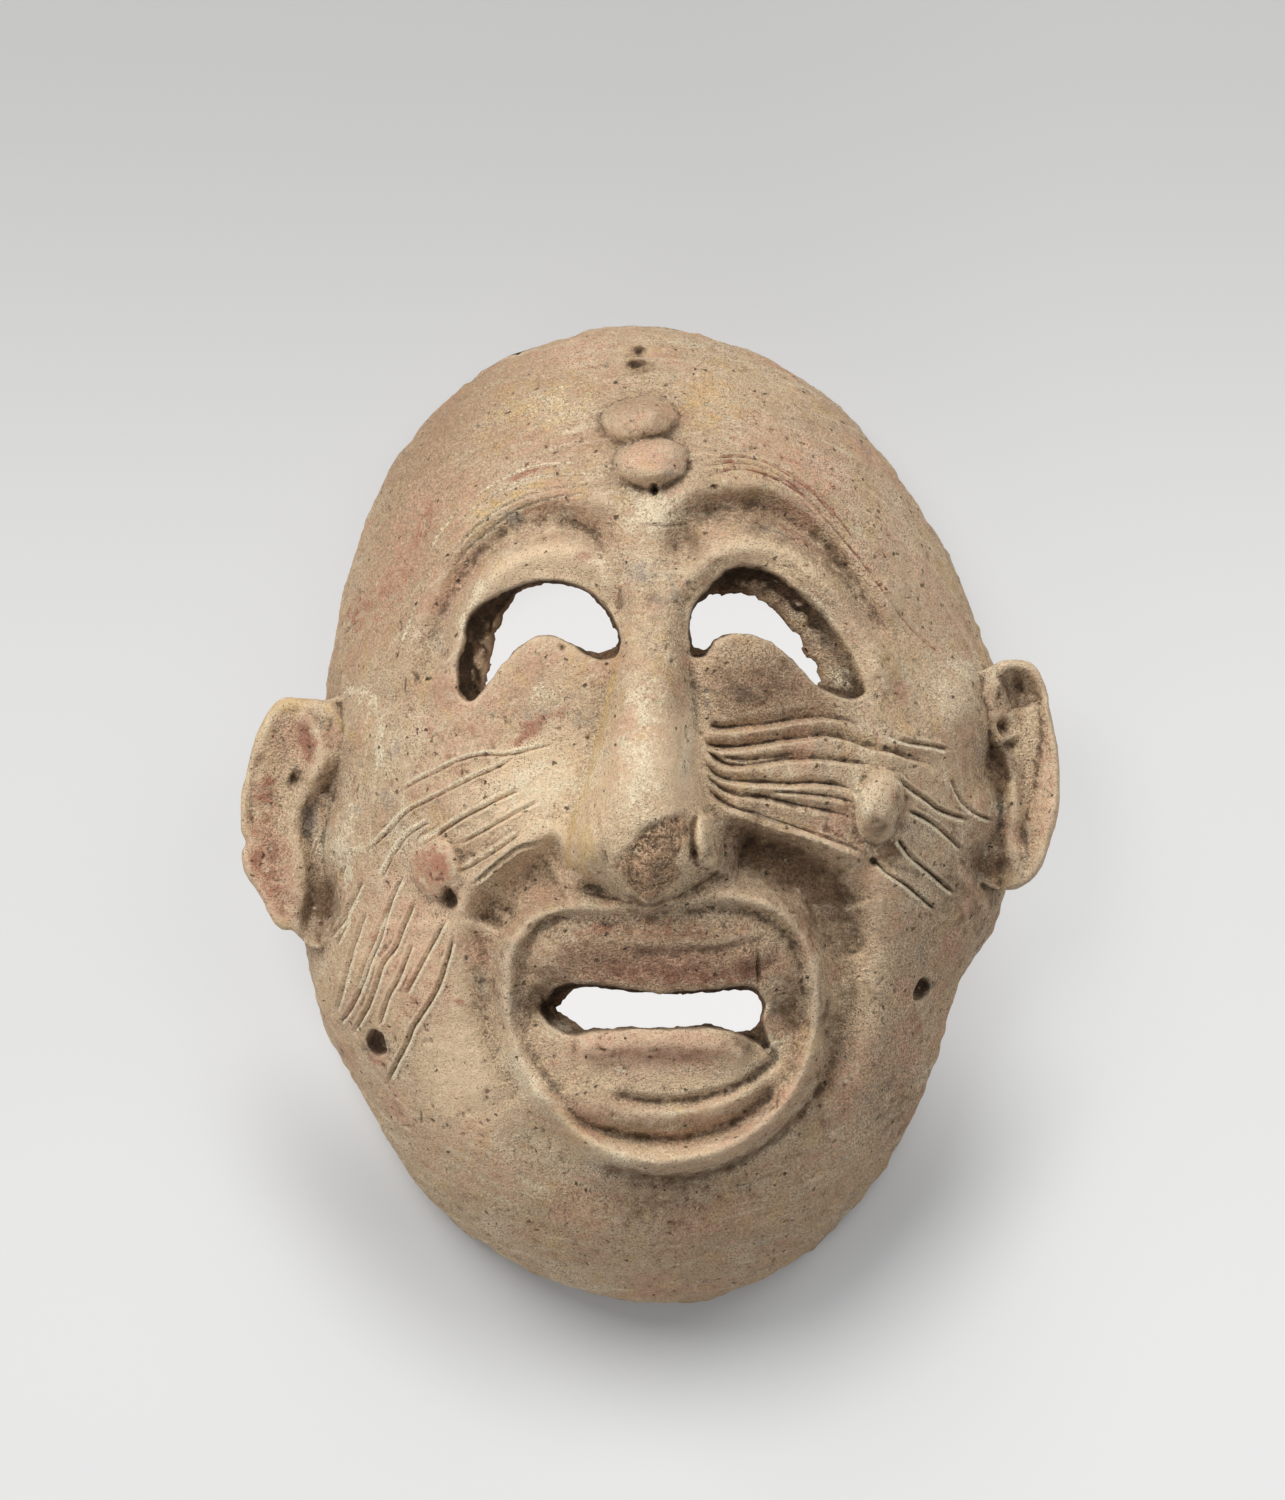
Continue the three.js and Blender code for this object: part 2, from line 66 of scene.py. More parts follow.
# Radius of the rim's outline from the origin, every 15 degrees from +X towards +Y
RIM_RADII = np.array([
    89.8, 92.4, 92.6, 98.8, 106.9, 115.6, 119.6, 117.6, 110.9, 99.2, 89.2, 83.0,
    83.0, 88.0, 94.0, 98.9, 108.3, 115.7, 119.5, 116.6, 106.6, 95.6, 87.0, 89.4,
])
DOME_SHOULDER = 2.4  # exponents of the dome's profile: the higher they are, the boxier it is
DOME_CROWN = 2.0
RELIEF_FADE = (0.9, 1.0)  # shares of the rim's radius between which the relief dies away
DEEP_FROM, DEEP_SPAN = -4.0, 2.8  # hollows below the first level are eased, and stay above both together

# Nose: (y, value) stations from the tip up to the root
NOSE_AXIS = [(-18, -0.6), (-1, -2.0), (28, -0.4), (46, 0.4), (64, 1.8)]
NOSE_HEIGHT = [
    (-23.5, 0), (-21.6, 4), (-19.5, 11), (-16.5, 17), (-12.5, 20), (-6, 22.5), (1, 23.4), (9, 21.5), (18, 17.5),
    (32, 11.5), (47, 6), (66, 0),
]
NOSE_HALF_WIDTH = [
    (-25, 14), (-19, 16), (-10, 17.6), (-3, 17.2), (4, 15.6), (14, 13.2), (28, 10.8), (39, 9.0), (50, 8.2),
    (64, 10),
]
# Exponents of the nose's section: a higher first one makes its ridge flatter, a higher second one its foot softer
NOSE_FULLNESS = 2.8
NOSE_ROUNDNESS = 1.4
NOSE_POINT = 0.48  # how much further up the tip's lower edge is at the sides, for each millimetre across
NOSE_POINT_FROM, NOSE_POINT_FULL = -4, -14  # the y where that begins and where it is whole
NOSE_HOLLOW = ((-0.5, 16), (8.5, 30), 15)  # the nose's hollow inside: centre, half widths, height
RING_INSIDE = 0.4  # the ring's height inside the mask, as a share of its height on the face

# The raised ring round the mouth: the line of its crest, and its section
RING_CREST = [
    (-20.2, -21.5), (-28.1, -24.4), (-32.8, -30.6), (-34, -37.7), (-34, -47), (-32.1, -55.3), (-28.6, -62.5),
    (-23.6, -68.7), (-17.4, -74.7), (-9.3, -79.7), (-0.1, -82.1), (11.8, -80.9), (23.3, -76.2), (31.8, -68.8),
    (37, -60.2), (39.4, -50.6), (39.9, -41.1), (38.4, -32.8), (35.6, -26.9), (30.8, -22.5), (25.3, -20.1),
    (16.5, -18.6), (2.3, -20.9), (-9.5, -21.4),
]
RING = {"height": 6.6, "outer": 3.0, "inner": 2.3, "floor": 1.8}
RING_GAP = {"below": -24, "above": -17, "half_width": (10, 20), "loss": 0.55}  # where it runs under the nose

# Broad strokes by name: (height, half width on the left, half width on the right, line). A height above 0 is a
# ridge and below 0 a hollow. Left and right are as the line is followed.
BROAD = {
    "brow, left": (3.2, 4.0, 8.0, [
        (-2.4, 74.3), (-12, 75.7), (-21.8, 77.2), (-30.9, 76.6), (-38.8, 73), (-45, 67.3), (-49.1, 60.9),
        (-52.7, 54.2), (-56.3, 45.8), (-60.4, 36.3), (-62.3, 27.9),
    ]),
    "brow, right": (4.6, 9.0, 4.6, [
        (2.8, 73.1), (9.5, 78.2), (18.6, 79.7), (25.8, 79.7), (32.7, 77.1), (39.2, 72.4), (45.2, 65.9), (50.7, 59),
        (56, 51.8), (61.8, 43.7),
    ]),
    "socket hollow, left": (-2.8, 3.2, 4.2, [
        (-11, 59.6), (-12, 64), (-14.3, 67.3), (-18.6, 69.7), (-24.4, 70.7), (-30.1, 69.3), (-35.4, 66.5),
        (-40.1, 62.2), (-44.4, 56), (-47.3, 48.8), (-49.2, 39.8), (-50.1, 30.2),
    ]),
    "inner arc, left": (-1.2, 1.4, 1.8, [(-22.5, 71), (-17.7, 70), (-13.9, 67.8), (-12, 64.9), (-11, 61.1)]),
    "socket hollow, right": (-4.2, 3.8, 4.4, [
        (6.1, 57.7), (6.4, 63.5), (9, 69), (14.3, 73.1), (22.4, 74.6), (31, 73), (37.7, 68.5), (43.5, 62),
        (48.5, 55.1), (53.5, 47), (57.3, 38.6),
    ]),
    "upper lid, left": (3.6, 4.0, 3.4, [
        (-7.7, 50.1), (-10, 57.3), (-14.8, 62.1), (-22.4, 63.8), (-30.1, 62.4), (-37.2, 57.6), (-43, 50.9),
        (-46.5, 42.6), (-48.2, 34.5), (-47.2, 26.4),
    ]),
    "upper lid, right": (4.0, 4.0, 3.6, [
        (8.5, 51.1), (9.9, 57.7), (16.1, 63), (25.4, 64.7), (33.8, 62.9), (40.5, 57.7), (46.5, 51), (51.5, 43.1),
        (54.9, 35), (56.3, 26.9),
    ]),
    "fold of the nose, left": (-5.2, 5.0, 5.4, [
        (-19.5, -7.8), (-25, -10.2), (-31.4, -15), (-35.7, -20.9), (-37.9, -26.9),
    ]),
    "left of the mouth": (-2.4, 5.0, 5.6, [
        (-34.5, -18.5), (-37.6, -26.9), (-38.8, -36.4), (-37.6, -46), (-34.5, -56.6), (-28.6, -67.3),
    ]),
    "under the cheek, left": (-3.0, 7.0, 6.0, [(-21.4, -14.9), (-27.3, -18.5), (-32.1, -25.7)]),
    "fold of the nose, right": (-6.2, 6.0, 5.6, [
        (19.4, -7.8), (26, -9.7), (33.7, -14), (40.4, -19.8), (44.7, -28.2), (45.7, -34.2),
    ]),
    "right of the mouth": (-3.8, 6.4, 5.8, [
        (40.8, -19.8), (44.7, -28.2), (46, -37.7), (45.3, -47.3), (42.9, -58.1), (37.7, -68.8),
    ]),
    "under the cheek, right": (-5.0, 7.0, 6.0, [
        (20.8, -5.9), (27.9, -8.3), (35.6, -11.6), (41.8, -16.4), (44.7, -23.4),
    ]),
    "upper lip": (3.4, 5.4, 6.6, [
        (-26.6, -37.4), (-23.3, -32.4), (-16.6, -30.1), (-6, -29.6), (7, -30.3), (20.1, -31), (27.9, -34.4),
    ]),
    "lower lip": (3.0, 4.0, 3.4, [(-17.9, -54.9), (-11.9, -54.4), (2.3, -53.4), (15.4, -54.4), (24.2, -57.3)]),
    "swelling under the lip": (1.6, 3.4, 3.0, [
        (-21.5, -63.8), (-12, -69.3), (-0.1, -71.2), (14.2, -69.3), (26.1, -62.6),
    ]),
    "groove over the upper lip": (-1.0, 1.0, 1.3, [
        (-29.9, -41), (-29.2, -32.7), (-25.9, -26.3), (-18.5, -22.6), (-2.4, -22.4), (14.1, -21.7), (26, -22.9),
        (33.1, -28.2), (36.2, -35.8), (37, -45.8),
    ]),
    "groove in the upper lip": (-1.5, 0.8, 2.4, [
        (-4.3, -31), (3.5, -32), (11.8, -31.5), (20.1, -30.3), (27.9, -28.1),
    ]),
    "fold under the lower lip": (-2.8, 0.8, 1.6, [
        (-9.1, -65.9), (-2.4, -67.1), (5.2, -67.6), (13.3, -66.4), (20.9, -63.8), (28, -58.8), (30.4, -55.5),
    ]),
    "crease inside the ring": (-3.3, 1.4, 2.3, [
        (-21.5, -69.7), (-14.3, -73.8), (-5.3, -75.8), (2.3, -76.5), (9.5, -76.2), (15.7, -74.3), (21.4, -71.5),
        (26.6, -67.4), (30.4, -63.1),
    ]),
    "edge under the ring": (-2.0, 1.3, 1.9, [
        (-15.6, -81.9), (-7.2, -85.2), (2.3, -86.7), (13.1, -85.5), (23.8, -81.2), (33.4, -74.1), (41, -64.1),
        (44.3, -53.3),
    ]),
    "hollow under the ring": (-2.4, 5.6, 6.0, [
        (-34.7, -70.1), (-25.2, -82.2), (-12, -89.4), (2.3, -91.8), (17.2, -89.9), (30.1, -82.7), (41.8, -70.7),
    ]),
    "cheekbone, right": (1.8, 8.0, 9.0, [(55.7, 19.5), (60.8, 8.7), (61.5, -3.2), (59.6, -12.7)]),
    "lower edge of the cheek, right": (3.2, 2.6, 4.6, [
        (17, 4), (25.1, -0.2), (34.6, -3.6), (44.2, -6.7), (52.8, -9.8),
    ]),
    "lower edge of the cheek, left": (2.4, 4.6, 3.0, [
        (-20, -3.1), (-26.2, -5), (-32.1, -7.8), (-38.5, -12.1), (-43.8, -17.9), (-46.5, -25.8),
    ]),
    "jaw side of the fold, right": (2.6, 8.0, 4.4, [
        (54.3, -10.8), (55.8, -19.9), (54.9, -29.5), (54, -41.5), (51.7, -55.9), (46.7, -69.2),
    ]),
    "jaw side of the fold, left": (1.8, 5.0, 8.0, [
        (-47.2, -23.4), (-47.2, -31.7), (-45.4, -43.7), (-42.5, -55.7), (-35.9, -68.9),
    ]),
    "right wing of the nose": (5.0, 2.4, 2.8, [(12, 1.2), (12.7, -2.6), (13.9, -6.8), (15.1, -10.6), (14.6, -13)]),
    "crack beside the right wing": (-3.2, 0.9, 1.3, [(10.3, 0.6), (10, -4.8), (10.7, -10)]),
}

# Soft swellings and dips by name: (centre, half widths, height)
MOUNDS = {
    "ridge between the brows": ((1.1, 68.3), (8.5, 13), 2.6),
    "lower lid, left": ((-25, 33.5), (16, 12), 3.0),
    "lower lid, right": ((24.2, 33.5), (17, 12), 3.2),
    "cheek, left": ((-42, 4), (22, 18), 3.0),
    "cheek, right": ((40, 8), (24, 17), 3.5),
    "wing of the nose, left": ((-15.4, -7.3), (4.6, 8.0), 6.4),
    "wing of the nose, right": ((13.6, -6.8), (4.6, 8.5), 4.0),
    "nostril, left": ((-13.8, -17.2), (3.4, 1.8), -2.6),
    "corner of the mouth, left": ((-25, -45.4), (6, 5), -3.4),
    "corner of the mouth, right": ((32.3, -48.3), (5, 8), -3.4),
    "root of the ear, left": ((-70.2, 23.2), (8, 12), 3.5),
    "root of the ear, right": ((75.4, 29.4), (8, 11), 3.4),
    "bump beside the ear, right": ((81, -0.1), (5, 7), 3.0),
    "hollow behind the ear, left": ((-76.5, 7.4), (6, 10), -2.2),
    "root of the ear, left, lower down": ((-76.5, -5.4), (6, 8), 4.5),
    "lower hollow behind the ear, left": ((-79.6, -20.5), (6.0, 11), -5.5),
    "hollow behind the ear, right": ((82.2, 12.3), (5, 8), -4.0),
    "lower hollow behind the ear, right": ((82.4, -12.2), (6, 8), -6.0),
    "chin": ((2, -94), (26, 14), 2.5),
    "temple dip, left": ((-61.9, 42.3), (14, 20), -1.6),
    "temple dip, right": ((66, 42.3), (12, 20), -1.6),
}

# Clay pellets pressed on: (name, centre, half widths, height, turn in degrees)
PELLETS = [
    ("upper pellet of the forehead", (-2.7, 95.2), (8.9, 5.5), 7.6, 6),
    ("lower pellet of the forehead", (0.2, 84.9), (9.0, 6.4), 9.4, 0),
    ("pellet of the left cheek", (-51, -12.2), (6.0, 8.4), 4.4, 12),
    ("pellet of the right cheek", (54.7, 2.6), (5.6, 9.0), 9.5, -10),
]
PELLET_SINK = 0.24  # share of a pellet's half thickness that is sunk in the face
PELLET_SQUARENESS = 0.92  # exponent on a ball's points: under 1 it is a little boxy
PELLET_STEP = 3.0  # how far on each side the slope under a pellet is taken

# Openings: (name, edge on the face, edge inside), point for point
OPENINGS = [
    (
        "left eye",
        [
            (-41.9, 27.8), (-45.3, 28.8), (-46, 33.5), (-45.8, 38.1), (-44.6, 41.9), (-43.9, 45.5), (-42.5, 48.6),
            (-38.6, 51.6), (-34.3, 54), (-30, 55.6), (-24.3, 56.6), (-18.6, 55.4), (-14.3, 53.2), (-11, 50.1),
            (-8.6, 46.8), (-6.9, 41.5), (-8.1, 38.2), (-11.9, 37.3), (-15.2, 38.4), (-18.6, 41.1), (-23.6, 43),
            (-28.6, 42.3), (-32.4, 39.2), (-36.2, 35.4),
        ],
        [
            (-38.6, 30.2), (-38.3, 31.6), (-38.1, 33.5), (-37.8, 36.3), (-37.6, 39.7), (-37.1, 43), (-35.9, 45.4),
            (-35, 48), (-33.1, 50.8), (-30, 54.2), (-24.5, 55.6), (-18.8, 54.6), (-15.3, 53.2), (-12.2, 50.1),
            (-9.6, 46.8), (-7.9, 42), (-8.6, 40.4), (-11.5, 39.7), (-14.8, 39.9), (-18.6, 41.3), (-23.6, 42.3),
            (-28.1, 41.6), (-31.9, 38.5), (-35.7, 34.9),
        ],
    ),
    (
        "right eye",
        [
            (9.2, 41.5), (9.4, 47.5), (11.1, 51.5), (14.4, 55.1), (18.3, 59), (24.2, 59.9), (29.5, 58.1),
            (34.7, 54.5), (39.7, 50.2), (43.8, 45.5), (47.4, 39.5), (50.3, 34), (51.9, 29.7), (49, 28), (44.7, 29),
            (39.4, 31.6), (32.7, 38.5), (26.6, 42.8), (20.6, 43.7), (15.8, 41.8), (12.8, 38.2), (9.7, 38.2),
        ],
        [
            (9.9, 42), (9.9, 47.3), (11.3, 50.4), (14.2, 52.3), (18.5, 52.5), (22.5, 52.3), (26.8, 50.6),
            (29.6, 48.7), (32, 45.4), (35.4, 41.8), (36.3, 38.7), (38.4, 36.3), (38.9, 33), (38.4, 31.8),
            (37.5, 32.5), (35.6, 35.4), (31.3, 39.4), (25.6, 42), (20.6, 42.8), (15.9, 42), (13, 40.4),
            (10.4, 40.9),
        ],
    ),
    (
        "mouth",
        [
            (-26.2, -45.8), (-25, -43.2), (-22.1, -40.3), (-16, -39.4), (-8.8, -40.1), (-2.4, -40.8), (3.3, -41.5),
            (13.7, -41), (20.6, -40.3), (24.2, -40.4), (26.1, -41.6), (27.3, -44.7), (26.8, -48.3), (28.2, -54.7),
            (24.9, -53.5), (21.1, -51.6), (13.5, -50.1), (2.1, -50.3), (-6, -50.3), (-13.4, -50.8), (-19.1, -51.8),
            (-23.8, -49.7),
        ],
        [
            (-22.4, -45.8), (-21, -44.2), (-18.6, -41.6), (-15.3, -40.4), (-8.8, -41.1), (-2.4, -41.8),
            (3.3, -42.5), (13.7, -42), (20.6, -41.6), (23.9, -41.8), (26.1, -43.9), (26.5, -46.8), (25.6, -49.1),
            (23.7, -51), (22.3, -50.8), (19.4, -50.6), (13.5, -49.4), (2.1, -50.1), (-6, -49.9), (-13.4, -50.6),
            (-16.7, -49.6), (-20, -47.7),
        ],
    ),
]
# Course of an opening's wall from the face inwards: (share of the way across, share of the way down, how much
# wider, how much higher). It drops steeply under the worn edge and then runs in.
WALL_COURSE = [
    (0, 0, 2.4, 14), (0, 0, 0.9, 1.4), (0, 0, 0.25, 0), (0.03, 0.2, 0.05, 0), (0.12, 0.45, 0, 0),
    (0.45, 0.78, 0, 0), (1, 1, 0, 0), (1, 1, 0, -9),
]
OPENING_POINTS = 160  # points round an opening
OPENING_PATTERN = (2.2, 31)  # unevenness of an opening's edge: its size and the number of its pattern
OPENING_ROUGH_FACE, OPENING_ROUGH_BACK = 0.35, 0.3  # its height on the face and inside
OPENING_ROUGH_SHIFT = 40  # points by which it is shifted round inside

# Parts of the walls that are as pale as the face: (centre, half widths, share)
LIT_WALLS = [((27, -45.4), (3, 8), 0.85), ((44.6, 38.5), (7, 7), 0.55), ((-20, -49.7), (4, 2), 0.6)]

# Cord holes through the jaw: (centre, radius)
CORD_HOLES = [((-66.3, -55.1), 3.3), ((65.6, -41.8), 3.0)]
CORD_SIDES = 32
CORD_STEP = 1.0  # how far on each side the slope round a cord hole is taken
# (level, width) from the inside outwards: the hole is worn wider outside
CORD_COURSE = [(-14, 1.0), (-7, 1.0), (-1, 1.0), (0.4, 1.12), (2, 1.3), (14, 1.3)]

# Ears: how high the plate lies over the rim's plane, its side of the mask, how far its rim stands up and its middle is
# dished, its closed outline with the root, that of its face, and its ridges: (height, half widths, line)
EARS = [
    {
        "name": "left ear",
        "level": 25.0,
        "side": -1,
        "rim": 0.6,
        "dish": 0.8,
        "outline": [
            (-73.8, 28.7), (-78.7, 27.8), (-83.5, 28.2), (-88.6, 28.5), (-92, 25.8), (-94.9, 20.5), (-97, 13.7),
            (-98.7, 6.7), (-99.5, 0.9), (-99.2, -3.9), (-98, -6.6), (-99, -9.7), (-97.8, -14.3), (-94.4, -19.7),
            (-91.7, -25), (-89.1, -27.6), (-86.2, -27.9), (-80.3, -32), (-72.1, -24), (-69.7, -15.6), (-72.6, -5.9),
            (-72.1, 8.6), (-67.3, 18.3), (-67.3, 26.8),
        ],
        "face": [
            (-88.1, 29), (-92, 26.1), (-95.1, 20.5), (-97.3, 13.7), (-99, 6.7), (-99.9, 0.9), (-99.7, -3.9),
            (-98.3, -6.6), (-99.5, -9.7), (-98.3, -14.3), (-94.9, -19.7), (-92.2, -25), (-89.3, -28.1),
            (-86.2, -28.4), (-84.5, -20.4), (-84.2, -13.1), (-84.9, -7.1), (-85.7, -1.8), (-84, 4), (-79.9, 8.6),
            (-76.5, 14.2), (-75, 20.7), (-77.4, 25.6), (-81.8, 28.2),
        ],
        "ridges": [
            (1.6, 1.6, 2.2, [(-85.7, 25.6), (-81.8, 21.7), (-79.6, 17.1), (-80.1, 12.3), (-82.8, 7.7)]),
            (-1.2, 1.0, 1.2, [(-93.7, 15.4), (-95.6, 11.5), (-96.6, 4.8), (-96.3, -3)]),
            (-3.0, 2.4, 2.4, [(-87.1, 9.6), (-84.9, 8.6)]),
            (-0.6, 3.4, 3.4, [(-87.1, 19.5), (-90.5, 6.2), (-91.5, -5.9), (-89.5, -18)]),
            (-0.9, 1.2, 1.2, [(-77.4, 24.1), (-76.7, 19.5), (-77.4, 15.4)]),
        ],
    },
    {
        "name": "right ear",
        "level": 27.0,
        "side": 1,
        "rim": 1.0,
        "dish": 1.5,
        "outline": [
            (75.3, 31.8), (80.9, 35.2), (85.7, 37.6), (90.3, 37.4), (93.2, 36), (95.4, 32.3), (96.6, 27.5),
            (97.6, 21.7), (98.8, 15.7), (99, 9.1), (98.8, 3.6), (98, -1.5), (96.6, -6.6), (94.7, -12.1),
            (92.7, -14.8), (90.6, -16.7), (87.4, -17.9), (80.9, -16.5), (74.4, -8.3), (72.4, 13.5),
        ],
        "face": [
            (87.9, 38.4), (90.6, 37.9), (93.7, 36.4), (95.9, 32.6), (97.1, 27.5), (98, 21.7), (99.3, 15.7),
            (99.5, 9.1), (99.3, 3.6), (98.5, -1.5), (97.1, -6.6), (95.2, -12.1), (93.2, -15.3), (90.8, -17.2),
            (87.7, -17.9), (87.2, -13.3), (86.9, -8.7), (87.4, -0.3), (86.9, 4.8), (87.2, 11.6), (84.8, 16.6),
            (81.6, 22.7), (80.9, 28), (82.8, 32.8), (85, 36.7),
        ],
        "ridges": [
            (-3.6, 4.6, 4.6, [(85.5, 29.4), (88.9, 30.4), (90.8, 26)]),
            (-1.8, 2.2, 2.6, [(86.5, 18.8), (88.9, 13), (89.8, 3.8), (89.4, -8.3)]),
            (1.2, 1.5, 1.5, [(84, 19.3), (86.5, 14), (87.9, 7.2), (88.1, -2.5)]),
            (-1.3, 1.0, 1.2, [(93.2, 32.1), (94.7, 21.9), (93.5, 8.7), (91.3, -0.3), (90.1, -9.2)]),
            (-0.9, 0.8, 0.9, [(95.6, 24.1), (96.8, 16.4), (97.3, 8.9), (96.8, 3.1)]),
        ],
    },
]
EAR_EDGE = 4.6  # thickness of an ear's plate at its outer edge
EAR_ROOT = 10.0  # how much thicker it gets towards the head
EAR_ROOT_FROM, EAR_ROOT_FULL = 96, 80  # distances from the mask's middle line where that begins and where it is whole
EAR_STEP = 2.8  # how far the root's front lies under the ear's face
EAR_STEP_REACH = (0.2, 2.6)  # distances outside the face between which it drops
EAR_LEAN, EAR_LEAN_FROM = 0.28, 90  # how much the face rises towards the head for each millimetre, and from where
EAR_CREST, EAR_CREST_WIDTH = 1.6, 1.4  # how far inside its edge an ear's raised rim is, and its half width
EAR_DISH = (2, 9)  # distances inside the edge between which the ear gets dished
EAR_ROUNDING = 1.8  # radius of the plate's edge

# Folds scratched in the right cheek, from the nose outwards: (depth, how far the skin above slopes down to the
# line, how far it rises again below, line)
FOLDS_RIGHT = [
    (2.0, 3.4, 1.3, [
        (13.7, 21.8), (17, 21.1), (23.7, 21.6), (28.2, 22.1), (32.9, 23), (37.5, 23.7), (41.3, 24), (45.4, 23.3),
        (50.7, 21.9),
    ]),
    (2.1, 3.0, 1.3, [
        (12.5, 18), (15.1, 16.8), (19.6, 16.6), (25.3, 17.3), (32, 18.5), (37.5, 19.2), (42.3, 19.7), (47.1, 18.8),
        (51.9, 17.1), (57.2, 15.9), (61.3, 14.5), (66.2, 13), (70.4, 10.6),
    ]),
    (1.7, 2.4, 1.1, [
        (12.5, 16.4), (16.1, 13.5), (18.9, 12.3), (23.4, 12.3), (28.2, 13.1), (32.9, 13.8), (39.4, 14),
        (45.1, 13.5), (49.4, 12.8), (54, 12.1),
    ]),
    (0.8, 1.4, 0.7, [(17, 14.2), (22.5, 13.5), (28.4, 14.2), (34.6, 15)]),
    (1.7, 2.2, 1.1, [
        (13, 12.8), (15.6, 10), (18.9, 8.8), (23.4, 8.3), (28.2, 8.1), (32.9, 7.8), (37.5, 8.1), (42.2, 7.8),
        (46.1, 7.1), (49.4, 6.1),
    ]),
    (0.7, 1.2, 0.7, [(28.4, 5.9), (35.5, 5.5), (42.7, 4.7), (48.9, 3.3)]),
    (1.5, 2.2, 1.0, [
        (13.2, 10), (16.5, 6.9), (20.3, 5.5), (24.8, 4.8), (28.2, 4.3), (32.9, 3.1), (37.5, 2.1), (42.2, 1.2),
        (49.4, -0.3),
    ]),
    (2.2, 3.2, 1.2, [
        (13.4, 6.9), (16.8, 4), (19.6, 2.4), (23.4, 1), (28.2, -0.7), (32.9, -2.1), (37.5, -3.3), (42.2, -5),
        (47, -6.9), (53.1, -9.8),
    ]),
]
# Fine incisions: (depth, half width above or left, half width below or right, line)
CUTS_RIGHT = [
    (1.0, 0.6, 0.9, [(56.7, 19.7), (61.3, 18), (66.9, 17.1), (71.4, 16.1)]),
    (1.2, 0.6, 0.9, [(58.6, 9.5), (62, 6.8), (66.4, 3.7), (69.9, 1.3), (76.9, -0.9)]),
    (0.8, 0.5, 0.7, [(72.1, 9.2), (74.8, 3.9), (78.1, 0.8), (82.5, -1)]),
    (1.1, 0.6, 0.9, [(61.3, 1.6), (66.4, -0.8), (70.9, -4.2), (74.9, -8.1)]),
    (1.1, 0.6, 0.9, [(58.9, -5.1), (62, -9.2), (67, -13.5), (73.5, -18.9)]),
    (0.9, 0.55, 0.8, [(53.6, -10.5), (57.2, -13.7), (62.1, -17.1), (68.6, -22.7)]),
]
CHEEK_CUTS_LEFT = [
    (0.7, 0.5, 0.6, [
        (-21.9, 17.6), (-33.5, 14.7), (-39.3, 14.7), (-45, 13.5), (-50.6, 10.9), (-54.7, 9), (-59.8, 5.9),
    ]),
    (0.8, 0.5, 0.6, [
        (-32.6, 14), (-35.9, 11.9), (-42.6, 9), (-48.4, 6.1), (-53, 3.7), (-58.1, 1.1), (-63.2, -4), (-67.9, -8.6),
    ]),
    (0.7, 0.5, 0.6, [(-52.2, -1), (-58.1, -4.6), (-61.5, -9.2), (-64.7, -15.2)]),
    (1.1, 0.55, 0.7, [(-30.9, 6.4), (-35.7, 4.3), (-39.3, 2.4), (-44.8, -0.5), (-50.6, -4.1), (-55.6, -7.2)]),
    (0.9, 0.5, 0.7, [(-26.6, 3.6), (-30.9, 1.4), (-34.7, -0.7), (-39.3, -3.3), (-45.3, -6.5)]),
    (1.0, 0.5, 0.7, [(-30.9, -3.8), (-35.9, -7.4), (-40.5, -10.2), (-44.8, -12.9)]),
    (1.3, 0.55, 0.8, [(-26.2, -6.2), (-30.9, -7.4), (-34.7, -10), (-38.1, -12.8), (-41.4, -15.7)]),
]
JAW_CUTS_LEFT = [
    (1.0, 0.65, 0.6, [
        (-58.8, -13.5), (-61.5, -18.8), (-63, -23.3), (-65, -29.6), (-67, -34.5), (-69.3, -40.6), (-72.5, -46.9),
        (-75.7, -50.6),
    ]),
    (1.1, 0.7, 0.6, [
        (-56.4, -20.4), (-58.8, -25.9), (-61, -31.2), (-63.8, -35.1), (-65.8, -40.5), (-68.1, -46.2),
        (-72.4, -53.3),
    ]),
    (0.9, 0.65, 0.6, [(-56.9, -30), (-58.6, -34.5), (-60.4, -39.2), (-62.9, -43.6), (-65.2, -50.7)]),
    (0.9, 0.65, 0.6, [(-48.6, -24.1), (-52.3, -30.8), (-54.7, -35.4), (-58.7, -43)]),
    (1.2, 0.7, 0.65, [
        (-46.7, -27.9), (-48.4, -34.2), (-51.1, -41.6), (-54.8, -47.5), (-57.1, -51), (-58.4, -54.4),
        (-61.2, -59.7), (-63.3, -64.5),
    ]),
    (0.9, 0.6, 0.6, [(-68.2, -23), (-70.7, -29.8), (-72.8, -36.6), (-74.4, -42.3), (-76.4, -48.1)]),
    (0.9, 0.6, 0.6, [(-72.2, -20.2), (-73.4, -26.2), (-75.8, -31.1)]),
    (0.9, 0.6, 0.6, [(-69.1, -15.3), (-71.7, -21.1), (-74.2, -25.8), (-77.3, -29.5)]),
    (0.7, 0.55, 0.55, [(-62.7, -21.2), (-65.7, -28.4), (-68.2, -35), (-70.8, -41.9)]),
    (0.8, 0.5, 0.5, [(-73.7, -12), (-74.4, -14.4), (-73.9, -17.1)]),
]
